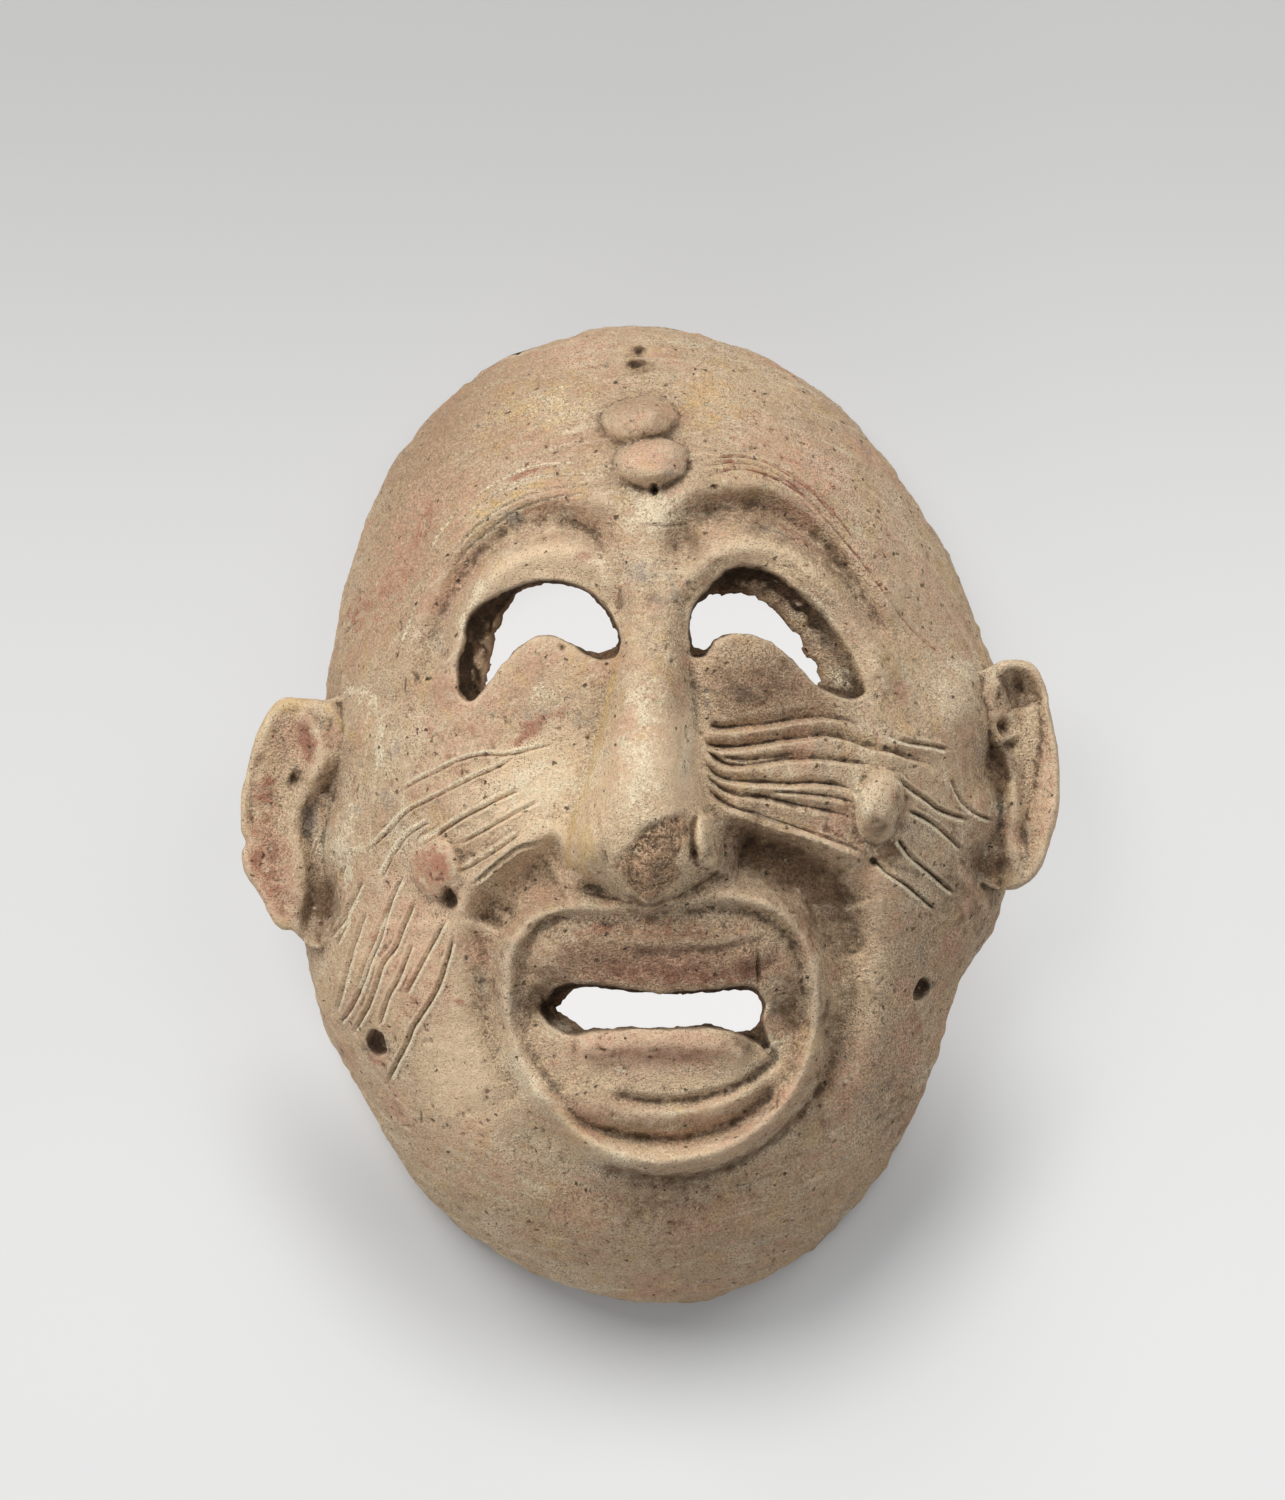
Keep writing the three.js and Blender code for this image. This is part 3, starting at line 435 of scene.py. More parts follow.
BROW_LINES_LEFT = [
    (0.4, 0.5, 0.5, [
        (-48.4, 61.3), (-44, 66.6), (-39.5, 70.9), (-34.9, 74), (-28.7, 76.8), (-21.8, 78.5), (-14.4, 78.9),
        (-8.6, 78.4),
    ]),
    (0.35, 0.5, 0.5, [
        (-50.3, 64.3), (-45.5, 70.5), (-41.4, 74.5), (-34.7, 78.6), (-28.3, 80.9), (-21.8, 81.6), (-14.4, 81.8),
        (-8.2, 81.3),
    ]),
    (0.3, 0.5, 0.5, [
        (-47.4, 58.9), (-43, 64.2), (-38.3, 68.4), (-33, 72.3), (-27.3, 74.9), (-21, 76.3), (-13.9, 76.7),
    ]),
    (0.3, 0.45, 0.45, [
        (-54, 61.4), (-50.4, 67.9), (-45.1, 73.9), (-38.4, 78.9), (-31.2, 82.7), (-24, 84.3), (-15.6, 84.7),
    ]),
    (0.3, 0.5, 0.5, [(-59.9, 39.8), (-57.5, 47), (-53.9, 55.4), (-51.3, 60.9)]),
]
BROW_LINES_RIGHT = [
    (0.7, 0.45, 0.45, [
        (11.9, 83.8), (19.1, 84.8), (24.4, 84.1), (29.4, 82.2), (34.7, 78.9), (38.7, 75.3), (42.1, 71.7),
    ]),
    (0.6, 0.4, 0.4, [(14.8, 85.7), (21, 86.3), (26.8, 84.9), (32.5, 82), (37.3, 78.7), (41.6, 74.4), (45, 70.5)]),
    (0.5, 0.5, 0.5, [(25.3, 85.8), (31.1, 83.7), (35.9, 80.6), (40.2, 76.5), (45.5, 71), (50.8, 64.3)]),
    (0.4, 0.5, 0.5, [
        (11.9, 80.8), (18.6, 82.8), (24.4, 82.6), (30.6, 80.3), (35.9, 77.2), (40.2, 72.9), (45, 67.6),
        (50.7, 60.9), (56, 54.2),
    ]),
    (0.3, 0.5, 0.5, [(52.6, 57.8), (57.5, 51.8), (61.8, 45.9), (66.2, 41.8), (69.7, 39.2)]),
]
OTHER_LINES = [
    (0.6, 0.55, 0.55, [(-74.3, 44), (-72.5, 45.6), (-70.5, 47.8)]),
    (0.4, 0.5, 0.5, [(-27.3, 101.7), (-25.3, 100.4), (-23.8, 98.6)]),
    (0.35, 0.6, 0.6, [(-2.2, 69.5), (3.8, 69.2), (9, 70)]),
    (0.5, 0.9, 0.9, [(-12.8, 2.7), (-11.9, -2.5), (-10.9, -7.6), (-10, -11.8)]),
]
ALL_CUTS = CUTS_RIGHT + CHEEK_CUTS_LEFT + JAW_CUTS_LEFT + BROW_LINES_LEFT + BROW_LINES_RIGHT + OTHER_LINES

# A fold's bottom: how far it rises below the line over the skin, and how wide that swelling is
FOLD_SWELL = (0.35, 1.8)

# Where the tip of the nose is broken off
BROKEN_TIP = [
    (8.8, 1.6), (5.3, 0.7), (1.8, -0.7), (-1.3, -2.2), (-3.6, -4.7), (-5.7, -6.4), (-7.8, -9.2), (-9.7, -11.8),
    (-7.1, -13.2), (-5.5, -15.8), (-2.4, -17.9), (0.6, -19.3), (3.4, -17.9), (5.5, -15.5), (7.4, -12.7), (7, -9.9),
    (8.6, -6.8), (10, -2.9),
]
# Bites out of the rim: (centre, half width, depth)
BITES = [
    ((53.8, 90), 2.4, 1.6), ((66.5, 71.4), 1.6, 1.4), ((72.7, 58.7), 1.4, 1.4), ((62.4, 79.5), 3.0, 0.8),
    ((86.4, -22), 2.0, 1.2), ((79.5, -35.5), 3.4, 1.0), ((71.9, -55.5), 1.4, 1.8), ((68.5, -63.6), 2.6, 1.4),
    ((-40.4, -105.2), 2.2, 1.6), ((-74.6, -57.5), 1.8, 1.2), ((-78.3, -41.6), 2.4, 0.9), ((-61.7, -85.6), 2.0, 1.0),
    ((-58.7, 91.7), 3.0, 0.7), ((-76.8, 47.7), 1.6, 0.9), ((-22, 117.4), 2.6, 0.6), ((20.8, 116.7), 2.2, 0.6),
    ((46.5, -97.9), 2.0, 1.0), ((58.7, -82), 2.2, 0.8),
]

# Small pits: (centre, half widths, depth, turn in degrees)
PITS = [
    ((-2.9, 112.3), (1.7, 0.9), 2.6, 8), ((-3.6, 108.8), (2.5, 1.0), 3.0, -5), ((0.7, 77.9), (0.8, 1.0), 2.4, 0),
    ((-14.8, 18.7), (0.6, 0.6), 1.2, 0), ((4.2, 40.3), (0.6, 0.6), 1.0, 0), ((5.4, 37), (0.6, 0.6), 0.9, 0),
    ((-21, 40.4), (0.8, 0.8), 1.4, 0), ((15.5, 78.4), (0.8, 0.7), 1.6, 0), ((85.7, 21.5), (1.3, 1.6), 4.5, 0),
    ((87.4, 16.9), (1.3, 0.9), 1.4, 0), ((-47.9, -19.8), (1.3, 2.4), 3.2, 10), ((53.3, -10.8), (0.9, 0.9), 2.0, 0),
    ((25.6, -35.8), (0.4, 3.6), 1.0, 0), ((27.5, -55), (2.4, 1.0), 2.2, -40), ((-11.9, 39.2), (3.2, 0.8), 1.8, -14),
    ((11.6, 39.6), (2.4, 0.9), 1.8, 12),
]

# Grids of the forms, and how far below the rim's plane each goes on, so that it is cut off level
OUTER_CELLS, OUTER_BELOW = (230, 280), 4.0
HOLLOW_CELLS, HOLLOW_BELOW = (120, 150), 12.0
EAR_CELLS = (90, 130)
MIDDLE_SPACING, RIM_SPACING = 0.85, 0.3  # a round grid's spacing in its middle and at its rim, against an even one

# ---- Fine relief, in millimetres ------------------------------------------------------------------------------

# A scratched line's raised lip: its height as a share of the depth, and its place and width in half widths
CUT_LIP, CUT_LIP_AT, CUT_LIP_WIDTH = 0.3, 1.5, 0.6
EAR_GAP = 0.02  # by which an ear's underside is lower at its edge, so that the plate is closed there
RING_REACH = 12  # how far from its crest the ring is worked out

# Unevenness of the clay: (height, size of the swellings, number of the pattern)
HAND_MARKS = [(0.3, 13.0, 50), (0.24, 5.0, 51), (0.16, 2.4, 52), (0.1, 1.2, 53)]
RIM_ROUGHNESS = [(0.7, 11.0, 60), (0.5, 4.5, 61), (0.35, 2.0, 62)]
WALL_ROUGHNESS = [(0.35, 2.2, 71), (0.3, 1.1, 72)]
THUMB_MARKS = [(0.7, 14, 21), (0.3, 6, 22)]
PELLET_DENTS = [(0.07, 0.8, 41), (0.03, 0.35, 42)]  # as shares of the pellet
BREAK_ROUGHNESS = [(0.6, 3.6, 81), (0.4, 1.3, 82), (0.25, 0.8, 83)]
PORES, PORE_FIELDS = (1.5, 54), (9.0, 55)  # size and number of the patterns that the pores and their places come from
PORE_DEPTH = 0.45

THUMB_RISE = (1, 10)  # heights over the rim between which the thumb marks of the hollow begin
INSIDE_SHARE = 0.4  # how much of the hand's marks and pores the inside has
SEEN_LEAN = (0.05, 0.35)  # upward lean of the surface between which the lines and pits begin
SEEN_FROM = 6  # height over the rim where they begin
RIM_ROUGH = (12, 2)  # heights between which the roughness of the rim begins
RIM_WORN = 0.3  # how far the rim is worn down in all
RIM_STRETCH = [1, 1, 0.5]  # its roughness is drawn out upwards
BREAK_FROM = 66  # height over the rim above which the nose's tip is broken off
BREAK_EDGE = (-0.6, 1.6)  # distances inside the break's outline between which it gets whole
BREAK_SINK = 0.7  # how deep the break lies
FIBRE_TURN, FIBRE_STRETCH = np.array([[0.8, -0.6, 0], [0.6, 0.8, 0], [0, 0, 1]]), [1, 0.45, 1]
WALL_EDGE = (-0.6, 0.4)  # distances inside an opening's outline between which its wall begins
WALL_UNDER = (1.0, 2.8)  # depths under the face between which its wall begins
WALL_FROM = 38  # height over the rim where it begins
WALL_LEAN = (0.97, 0.88)  # upward lean of the surface between which it counts as wall

# ---- Mesh of the piece ----------------------------------------------------------------------------------------

VOXEL, QUICK_VOXEL = 0.55, 0.9  # size of the skin's cells
SOFTEN_SHARE, SOFTEN_ROUNDS = 0.5, 2
FOLD_REACH, CUT_REACH = 2.2, 1.5  # how far round folds and cuts the mesh is finer
FINE_FROM = 12  # height over the rim above which it may be finer
SET_DOWN = 0.35  # what is lower than this stands on the floor
HOLLOW_MARGIN, HOLLOW_SIDE = 1.6, 0.6  # how far over the hollow's form, and round it, the skin still counts as inside
THIN_INSIDE, THIN_OUTSIDE = 0.05, 0.2  # share of the triangles that stays inside and round the face's middle part
LEAST_RATIO = 0.02
# The face's middle part: the middle and half of its width, its lower and upper end and its lowest level
BUSY_MIDDLE, BUSY_HALF, BUSY_LOW, BUSY_HIGH, BUSY_LEVEL = 3, 84, -80, 112, 28
SHARP_EDGE = math.radians(75)


def smooth_step(start, end, value):
    t = np.clip((value - start) / (end - start), 0, 1)
    return t * t * (3 - 2 * t)


def bell(value):
    return np.exp(-value * value)


def along(stations, at):
    """A smooth curve through (station, value) pairs in rising order, held past the ends."""
    where = np.array([s for s, _ in stations], float)
    value = np.array([v for _, v in stations], float)
    slope = np.empty_like(value)
    slope[1:-1] = (value[2:] - value[:-2]) / (where[2:] - where[:-2])
    slope[0] = (value[1] - value[0]) / (where[1] - where[0])
    slope[-1] = (value[-1] - value[-2]) / (where[-1] - where[-2])
    at = np.clip(at, where[0], where[-1])
    i = np.clip(np.searchsorted(where, at, side="right") - 1, 0, len(where) - 2)
    span = where[i + 1] - where[i]
    t = (at - where[i]) / span
    start, end = value[i], value[i + 1]
    m0, m1 = slope[i] * span, slope[i + 1] * span
    return start + t * m0 + t * t * (3 * (end - start) - 2 * m0 - m1) + t**3 * (2 * (start - end) + m0 + m1)


def through(t, a, b, c, d):
    """The smooth curve from b to c that heads for a and d beyond them."""
    return b + 0.5 * t * (c - a + t * (2 * a - 5 * b + 4 * c - d + t * (3 * (b - c) + d - a)))


def spline(points, steps=6, closed=False):
    """Points along a smooth curve through the given ones."""
    p = np.array(points, float)
    before = np.vstack([p[-1:] if closed else p[:1], p])
    after = np.vstack([p, p[:2] if closed else p[-1:]])
    t = np.linspace(0, 1, steps, endpoint=False)[:, None]
    out = []
    for k in range(len(p) if closed else len(p) - 1):
        out.append(through(t, before[k], p[k], after[k + 1], after[min(k + 2, len(after) - 1)]))
    if not closed:
        out.append(p[-1:])
    return np.vstack(out)


def closed_spline(points, steps):
    """The same round a closed outline, with its first point once more at the end."""
    line = spline(points, steps, True)
    return np.vstack([line, line[:1]])


def turned_round(ring):
    """Twice the area of an outline whose first point is also its last, above 0 where it runs anticlockwise."""
    return np.sum(ring[:-1, 0] * ring[1:, 1] - ring[1:, 0] * ring[:-1, 1])


def to_line(x, y, line):
    """Signed distance to a line, above 0 on its left, and how far along the line from 0 to 1."""
    best = np.full(x.shape, np.inf)
    side = np.zeros_like(best)
    share = np.zeros_like(best)
    parts = len(line) - 1
    for i, ((ax, ay), (bx, by)) in enumerate(zip(line[:-1], line[1:])):
        dx, dy = bx - ax, by - ay
        t = np.clip(((x - ax) * dx + (y - ay) * dy) / max(dx * dx + dy * dy, 1e-12), 0, 1)
        ex, ey = x - ax - t * dx, y - ay - t * dy
        gap = ex * ex + ey * ey
        nearer = gap < best
        best[nearer] = gap[nearer]
        side[nearer] = np.sign(dx * ey - dy * ex)[nearer]
        share[nearer] = ((i + t) / parts)[nearer]
    return np.sqrt(best) * np.where(side < 0, -1, 1), share


def near(x, y, line, reach):
    """The points in the box round a line, widened by a reach."""
    low, high = line.min(0) - reach, line.max(0) + reach
    return (x > low[0]) & (x < high[0]) & (y > low[1]) & (y < high[1])


def stroke(x, y, height, left, right, points, ends=0.12, least=0.1):
    """A ridge or hollow with a bell-shaped section that runs out over the ends of its line."""
    out = np.zeros_like(x)
    line = spline(points)
    here = near(x, y, line, 3 * max(left, right))
    if here.any():
        gap, share = to_line(x[here], y[here], line)
        fade = least + (1 - least) * smooth_step(0, ends, share) * smooth_step(0, ends, 1 - share)
        out[here] = height * fade * bell(gap / np.where(gap > 0, left, right))
    return out


def incision(x, y, depth, left, right, points):
    """A scratched groove with a sharp bottom and a low raised lip on both sides."""
    out = np.zeros_like(x)
    line = spline(points)
    here = near(x, y, line, 3 * max(left, right))
    if here.any():
        gap, share = to_line(x[here], y[here], line)
        fade = 0.15 + 0.85 * smooth_step(0, 0.12, share) * smooth_step(0, 0.12, 1 - share)
        across = np.abs(gap) / np.where(gap > 0, left, right)
        groove = np.clip(1 - across, 0, 1) ** 1.2
        lip = CUT_LIP * bell((across - CUT_LIP_AT) / CUT_LIP_WIDTH)
        out[here] = depth * fade * (lip - groove)
    return out


def fold(x, y, depth, above, below, points):
    """A fold of skin: it slopes down to its line from above and rises steeply to a soft roll below it."""
    out = np.zeros_like(x)
    line = spline(points)
    here = near(x, y, line, 3 * above)
    if here.any():
        gap, share = to_line(x[here], y[here], line)
        fade = 0.1 + 0.9 * smooth_step(0, 0.08, share) * smooth_step(0, 0.2, 1 - share)
        spread_out = 0.45 + 0.55 * smooth_step(0, 0.3, share)
        down = np.clip(1 - gap / (above * spread_out), 0, 1) ** 1.5
        swell, width = FOLD_SWELL
        up = np.clip(1 + gap / below, 0, 1) - swell * bell((gap + below) / width) * (gap < 0)
        out[here] = -depth * fade * np.where(gap > 0, down, up)
    return out


def mound(x, y, at, radii, height, turn=0.0):
    """A bell-shaped swelling on an oval, turned by some degrees."""
    c, s = np.cos(np.radians(turn)), np.sin(np.radians(turn))
    dx, dy = x - at[0], y - at[1]
    return height * bell(np.hypot((dx * c + dy * s) / radii[0], (dy * c - dx * s) / radii[1]))


def mounds(x, y, spots):
    """Many of them together, each from its centre, half widths, height and turn."""
    return sum(mound(x, y, *spot) for spot in spots)


def lattice(points, cell, seed):
    """Smooth noise from -1 to 1 on a lattice of the given cell size."""
    p = np.asarray(points, float) / cell
    base = np.floor(p).astype(np.int64)
    t = p - base
    t = t * t * (3 - 2 * t)
    total = np.zeros(len(p))
    for corner in range(8):
        step = np.array([corner & 1, corner >> 1 & 1, corner >> 2 & 1])
        i, j, k = (base + step).T
        mixed = ((i * 73856093) ^ (j * 19349663) ^ (k * 83492791) ^ (seed * 2654435761)) & 0xFFFFFFFF
        mixed = ((mixed ^ (mixed >> 15)) * 2246822519) & 0xFFFFFFFF
        mixed = ((mixed ^ (mixed >> 13)) * 3266489917) & 0xFFFFFFFF
        value = ((mixed ^ (mixed >> 16)) & 0xFFFF) / 32767.5 - 1
        total += np.prod(np.where(step == 1, t, 1 - t), axis=1) * value
    return total


def roughness(points, marks):
    """Unevenness made of several patterns: (height, size of the swellings, number of the pattern)."""
    return sum(height * lattice(points, cell, seed) for height, cell, seed in marks)


def rim_radius(x, y):
    """Distance from the origin to the rim's outline, in each point's direction."""
    count = len(RIM_RADII)
    turn = (np.arctan2(y, x) / (2 * np.pi)) % 1.0 * count
    i = np.floor(turn).astype(int)
    return through(turn - i, *(RIM_RADII[(i + k) % count] for k in (-1, 0, 1, 2)))


def dome_height(x, y, inset, depth):
    """The plain dome that the face lies on, drawn in on all sides by an inset."""
    share = np.clip(np.hypot(x, y) / (rim_radius(x, y) - inset), 0, 1)
    return (depth - inset) * (1 - share**DOME_SHOULDER) ** (1 / DOME_CROWN)


def nose_height(x, y):
    across = np.abs(x - along(NOSE_AXIS, y))
    share = np.clip(across / along(NOSE_HALF_WIDTH, y), 0, 1)
    level = y - NOSE_POINT * across * smooth_step(NOSE_POINT_FROM, NOSE_POINT_FULL, y)
    return np.maximum(0, along(NOSE_HEIGHT, level)) * (1 - share**NOSE_FULLNESS) ** NOSE_ROUNDNESS


def ring_height(x, y):
    out = np.zeros_like(x)
    line = closed_spline(RING_CREST, 5)
    here = near(x, y, line, RING_REACH)
    if not here.any():
        return out
    px, py = x[here], y[here]
    gap, _ = to_line(px, py, line)
    inner, outer = RING_GAP["half_width"]
    loss = RING_GAP["loss"] * smooth_step(RING_GAP["below"], RING_GAP["above"], py)
    loss *= smooth_step(outer, inner, np.abs(px))
    top, floor = RING["height"], RING["floor"]
    inside = floor + (top - floor) * bell(gap / RING["inner"])
    out[here] = (1 - loss) * np.where(gap > 0, inside, top * bell(gap / RING["outer"]))
    return out


def in_outline(x, y, outline):
    """Signed distance to a closed outline, above 0 inside it."""
    ring = closed_spline(outline, 4)
    gap, _ = to_line(x, y, ring)
    return gap if turned_round(ring) > 0 else -gap


def face_height(x, y, depth):
    """Height of the face over the rim's plane, without its pellets and fine relief."""
    share = np.hypot(x, y) / rim_radius(x, y)
    relief = nose_height(x, y) + ring_height(x, y)
    for height, left, right, line in BROAD.values():
        relief += stroke(x, y, height, left, right, line)
    for swelling in MOUNDS.values():
        relief += mound(x, y, *swelling)
    steep = relief < DEEP_FROM
    relief[steep] = DEEP_FROM + DEEP_SPAN * np.tanh((relief[steep] - DEEP_FROM) / DEEP_SPAN)
    return dome_height(x, y, 0, depth) + relief * (1 - smooth_step(*RELIEF_FADE, share))


def face_slope(at, step, depth):
    """How steeply the face rises at a place, to the right and to the crown, and its height there."""
    x, y = np.array([at[0]]), np.array([at[1]])
    right = (face_height(x + step, y, depth) - face_height(x - step, y, depth))[0] / (2 * step)
    up = (face_height(x, y + step, depth) - face_height(x, y - step, depth))[0] / (2 * step)
    return right, up, face_height(x, y, depth)[0]


def inside_height(x, y, depth, wall):
    """Height of the hollow's ceiling over the rim's plane."""
    dome = dome_height(x, y, wall, depth)
    hollow = mound(x, y, *NOSE_HOLLOW) + RING_INSIDE * ring_height(x, y)
    return dome + hollow * smooth_step(0, 2 * wall, dome)


# ---- Modelling ------------------------------------------------------------------------------------------------


def only(*objects):
    """Selects these objects and nothing else, and makes the first one active."""
    bpy.ops.object.select_all(action="DESELECT")
    for o in objects:
        o.select_set(True)
    bpy.context.view_layer.objects.active = objects[0]


def points_of(o):
    co = np.empty(len(o.data.vertices) * 3, np.float32)
    o.data.vertices.foreach_get("co", co)
    return co.reshape(-1, 3).astype(float)


def set_points(o, points):
    o.data.vertices.foreach_set("co", np.asarray(points, np.float32).ravel())
    o.data.update()


def apply_modifier(o, name, kind, **values):
    only(o)
    modifier = o.modifiers.new(name, kind)
    for key, value in values.items():
        setattr(modifier, key, value)
    if "FINISHED" not in bpy.ops.object.modifier_apply(modifier=modifier.name):
        raise RuntimeError(f"{name} could not be applied to {o.name}")


def recalculate(o):
    only(o)
    bpy.ops.object.mode_set(mode="EDIT")
    bpy.ops.mesh.select_all(action="SELECT")
    bpy.ops.mesh.normals_make_consistent(inside=False)
    bpy.ops.object.mode_set(mode="OBJECT")


def closed_sheet(name, cells, place):
    """A grid, extruded to a closed slab. place(across, up, is_top) gives its points in millimetres."""
    bpy.ops.object.select_all(action="DESELECT")
    bpy.ops.mesh.primitive_grid_add(x_subdivisions=cells[0], y_subdivisions=cells[1], size=2)
    o = bpy.context.object
    o.name = name
    bpy.ops.object.mode_set(mode="EDIT")
    bpy.ops.mesh.select_all(action="SELECT")
    bpy.ops.mesh.extrude_region_move(TRANSFORM_OT_translate={"value": (0, 0, -1)})
    bpy.ops.object.mode_set(mode="OBJECT")
    p = points_of(o)
    set_points(o, place(p[:, 0], p[:, 1], p[:, 2] > -0.5) * MM)
    recalculate(o)
    return o


def tube(name, rings):
    """A closed tube through rings of points in millimetres. Each ring has the same number of points."""
    sides = len(rings[0])
    bpy.ops.object.select_all(action="DESELECT")
    bpy.ops.mesh.primitive_cylinder_add(vertices=sides, radius=1, depth=1, location=(0, 0, 0.5), end_fill_type="NGON")
    o = bpy.context.object
    o.name = name
    only(o)
    bpy.ops.object.transform_apply(location=True, rotation=True, scale=True)
    select_points(o, points_of(o)[:, 2] > 0.5)
    bpy.ops.object.mode_set(mode="EDIT")
    for _ in range(len(rings) - 2):
        bpy.ops.mesh.extrude_region_move(TRANSFORM_OT_translate={"value": (0, 0, 1)})
    bpy.ops.object.mode_set(mode="OBJECT")
    p = points_of(o)
    step = np.round(np.arctan2(p[:, 1], p[:, 0]) / (2 * np.pi) * sides).astype(int) % sides
    level = np.round(p[:, 2]).astype(int)
    set_points(o, np.asarray(rings, float)[level, step] * MM)
    recalculate(o)
    return o


def combine(o, other, operation):
    """Joins another closed body to this one or cuts it out, and uses it up."""
    apply_modifier(o, operation.lower(), "BOOLEAN", operation=operation, object=other, solver="MANIFOLD")
    bpy.data.objects.remove(other)


def spread(step):
    """Moves even steps from -1 to 1 so that they lie closer at the rim than in the middle."""
    fifth = (RIM_SPACING + 2 * MIDDLE_SPACING - 3) / 2
    return MIDDLE_SPACING * step + (1 - MIDDLE_SPACING - fifth) * step**3 + fifth * step**5


def rounded(s, t):
    """Points of the square from -1 to 1, drawn into the circle."""
    return s * np.sqrt(1 - t * t / 2), t * np.sqrt(1 - s * s / 2)


def drawn_round(across, up, inset):
    """Points of the square from -1 to 1, drawn into the rim's outline less an inset."""
    x, y = rounded(spread(across), spread(up))
    radius = rim_radius(x, y) - inset
    return x * radius, y * radius


def inner_points(across, up, is_top):
    """The points of a sheet's top, but for those on its edge, which lie in the rim's plane or below it."""
    return is_top & (np.maximum(np.abs(across), np.abs(up)) <= 0.9999)


def outer_form(size):
    def place(across, up, is_top):
        x, y = drawn_round(across, up, 0)
        z = np.where(inner_points(across, up, is_top), face_height(x, y, size.depth), 0)
        return np.stack([x, y, np.where(is_top, z, -OUTER_BELOW)], axis=1)

    return closed_sheet("outer form", OUTER_CELLS, place)


def hollow_form(size):
    def place(across, up, is_top):
        x, y = drawn_round(across, up, size.wall)
        z = np.where(inner_points(across, up, is_top), inside_height(x, y, size.depth, size.wall), -1)
        thumb = roughness(np.stack([x, y, np.zeros_like(x)], axis=1), THUMB_MARKS)
        z = z + thumb * smooth_step(*THUMB_RISE, z) * is_top
        return np.stack([x, y, np.where(is_top, z, -HOLLOW_BELOW)], axis=1)

    return closed_sheet("hollow", HOLLOW_CELLS, place)


def outline_normals(ring):
    """Directions straight out from each point of a closed outline."""
    ahead, behind = np.roll(ring, -1, 0), np.roll(ring, 1, 0)
    d = ahead - behind
    n = np.stack([d[:, 1], -d[:, 0]], axis=1) / np.maximum(np.hypot(d[:, 0], d[:, 1]), 1e-6)[:, None]
    return n if turned_round(np.vstack([ring, ring[:1]])) > 0 else -n


def resample(ring, count):
    """A closed outline as a number of evenly spaced points."""
    closed = np.vstack([ring, ring[:1]])
    length = np.concatenate([[0], np.cumsum(np.hypot(*np.diff(closed, axis=0).T))])
    at = np.linspace(0, length[-1], count, endpoint=False)
    return np.stack([np.interp(at, length, closed[:, k]) for k in (0, 1)], axis=1)


def opening_form(name, outer, inner, size):
    """An opening flares from its edge inside the mask to its wider, worn edge on the face."""
    face = spline(outer, 12, True)
    back = spline(inner, 12, True)
    pick = np.round(np.linspace(0, len(face), OPENING_POINTS, endpoint=False)).astype(int)
    face, back = face[pick], back[pick]
    rough = lattice(np.column_stack([face, np.full(len(face), 3.0)]), *OPENING_PATTERN)
    out = outline_normals(face)
    face = face + out * (rough * OPENING_ROUGH_FACE)[:, None]
    back = back + outline_normals(back) * (np.roll(rough, OPENING_ROUGH_SHIFT) * OPENING_ROUGH_BACK)[:, None]
    z_face = face_height(face[:, 0], face[:, 1], size.depth)
    z_back = inside_height(back[:, 0], back[:, 1], size.depth, size.wall)
    rings = []
    for across, down, wider, rise in WALL_COURSE:
        flat = face + (back - face) * across + out * wider
        z = z_face + (z_back - z_face) * down + rise
        rings.append(np.column_stack([flat, z]))
    return tube(name, rings)


def pellet_form(name, at, radii, height, turn, size):
    """A lump of clay: a ball squeezed by hand and pressed on."""
    half = height / (1 - PELLET_SINK)
    bpy.ops.object.select_all(action="DESELECT")
    bpy.ops.mesh.primitive_ico_sphere_add(subdivisions=5, radius=1)
    o = bpy.context.object
    o.name = name
    p = points_of(o)
    bulge = 1
    for shift, (share, cell, seed) in zip(at, PELLET_DENTS):
        bulge = bulge + share * lattice(p + shift, cell, seed)
    shape = np.sign(p) * np.abs(p) ** PELLET_SQUARENESS
    p = shape * bulge[:, None] * np.array([radii[0], radii[1], half])
    c, s = np.cos(np.radians(turn)), np.sin(np.radians(turn))
    p = p @ np.array([[c, s, 0], [-s, c, 0], [0, 0, 1]])
    right, up, level = face_slope(at, PELLET_STEP, size.depth)
    p[:, 2] += right * p[:, 0] + up * p[:, 1]
    p += [at[0], at[1], level - half * PELLET_SINK]
    set_points(o, p * MM)
    return o


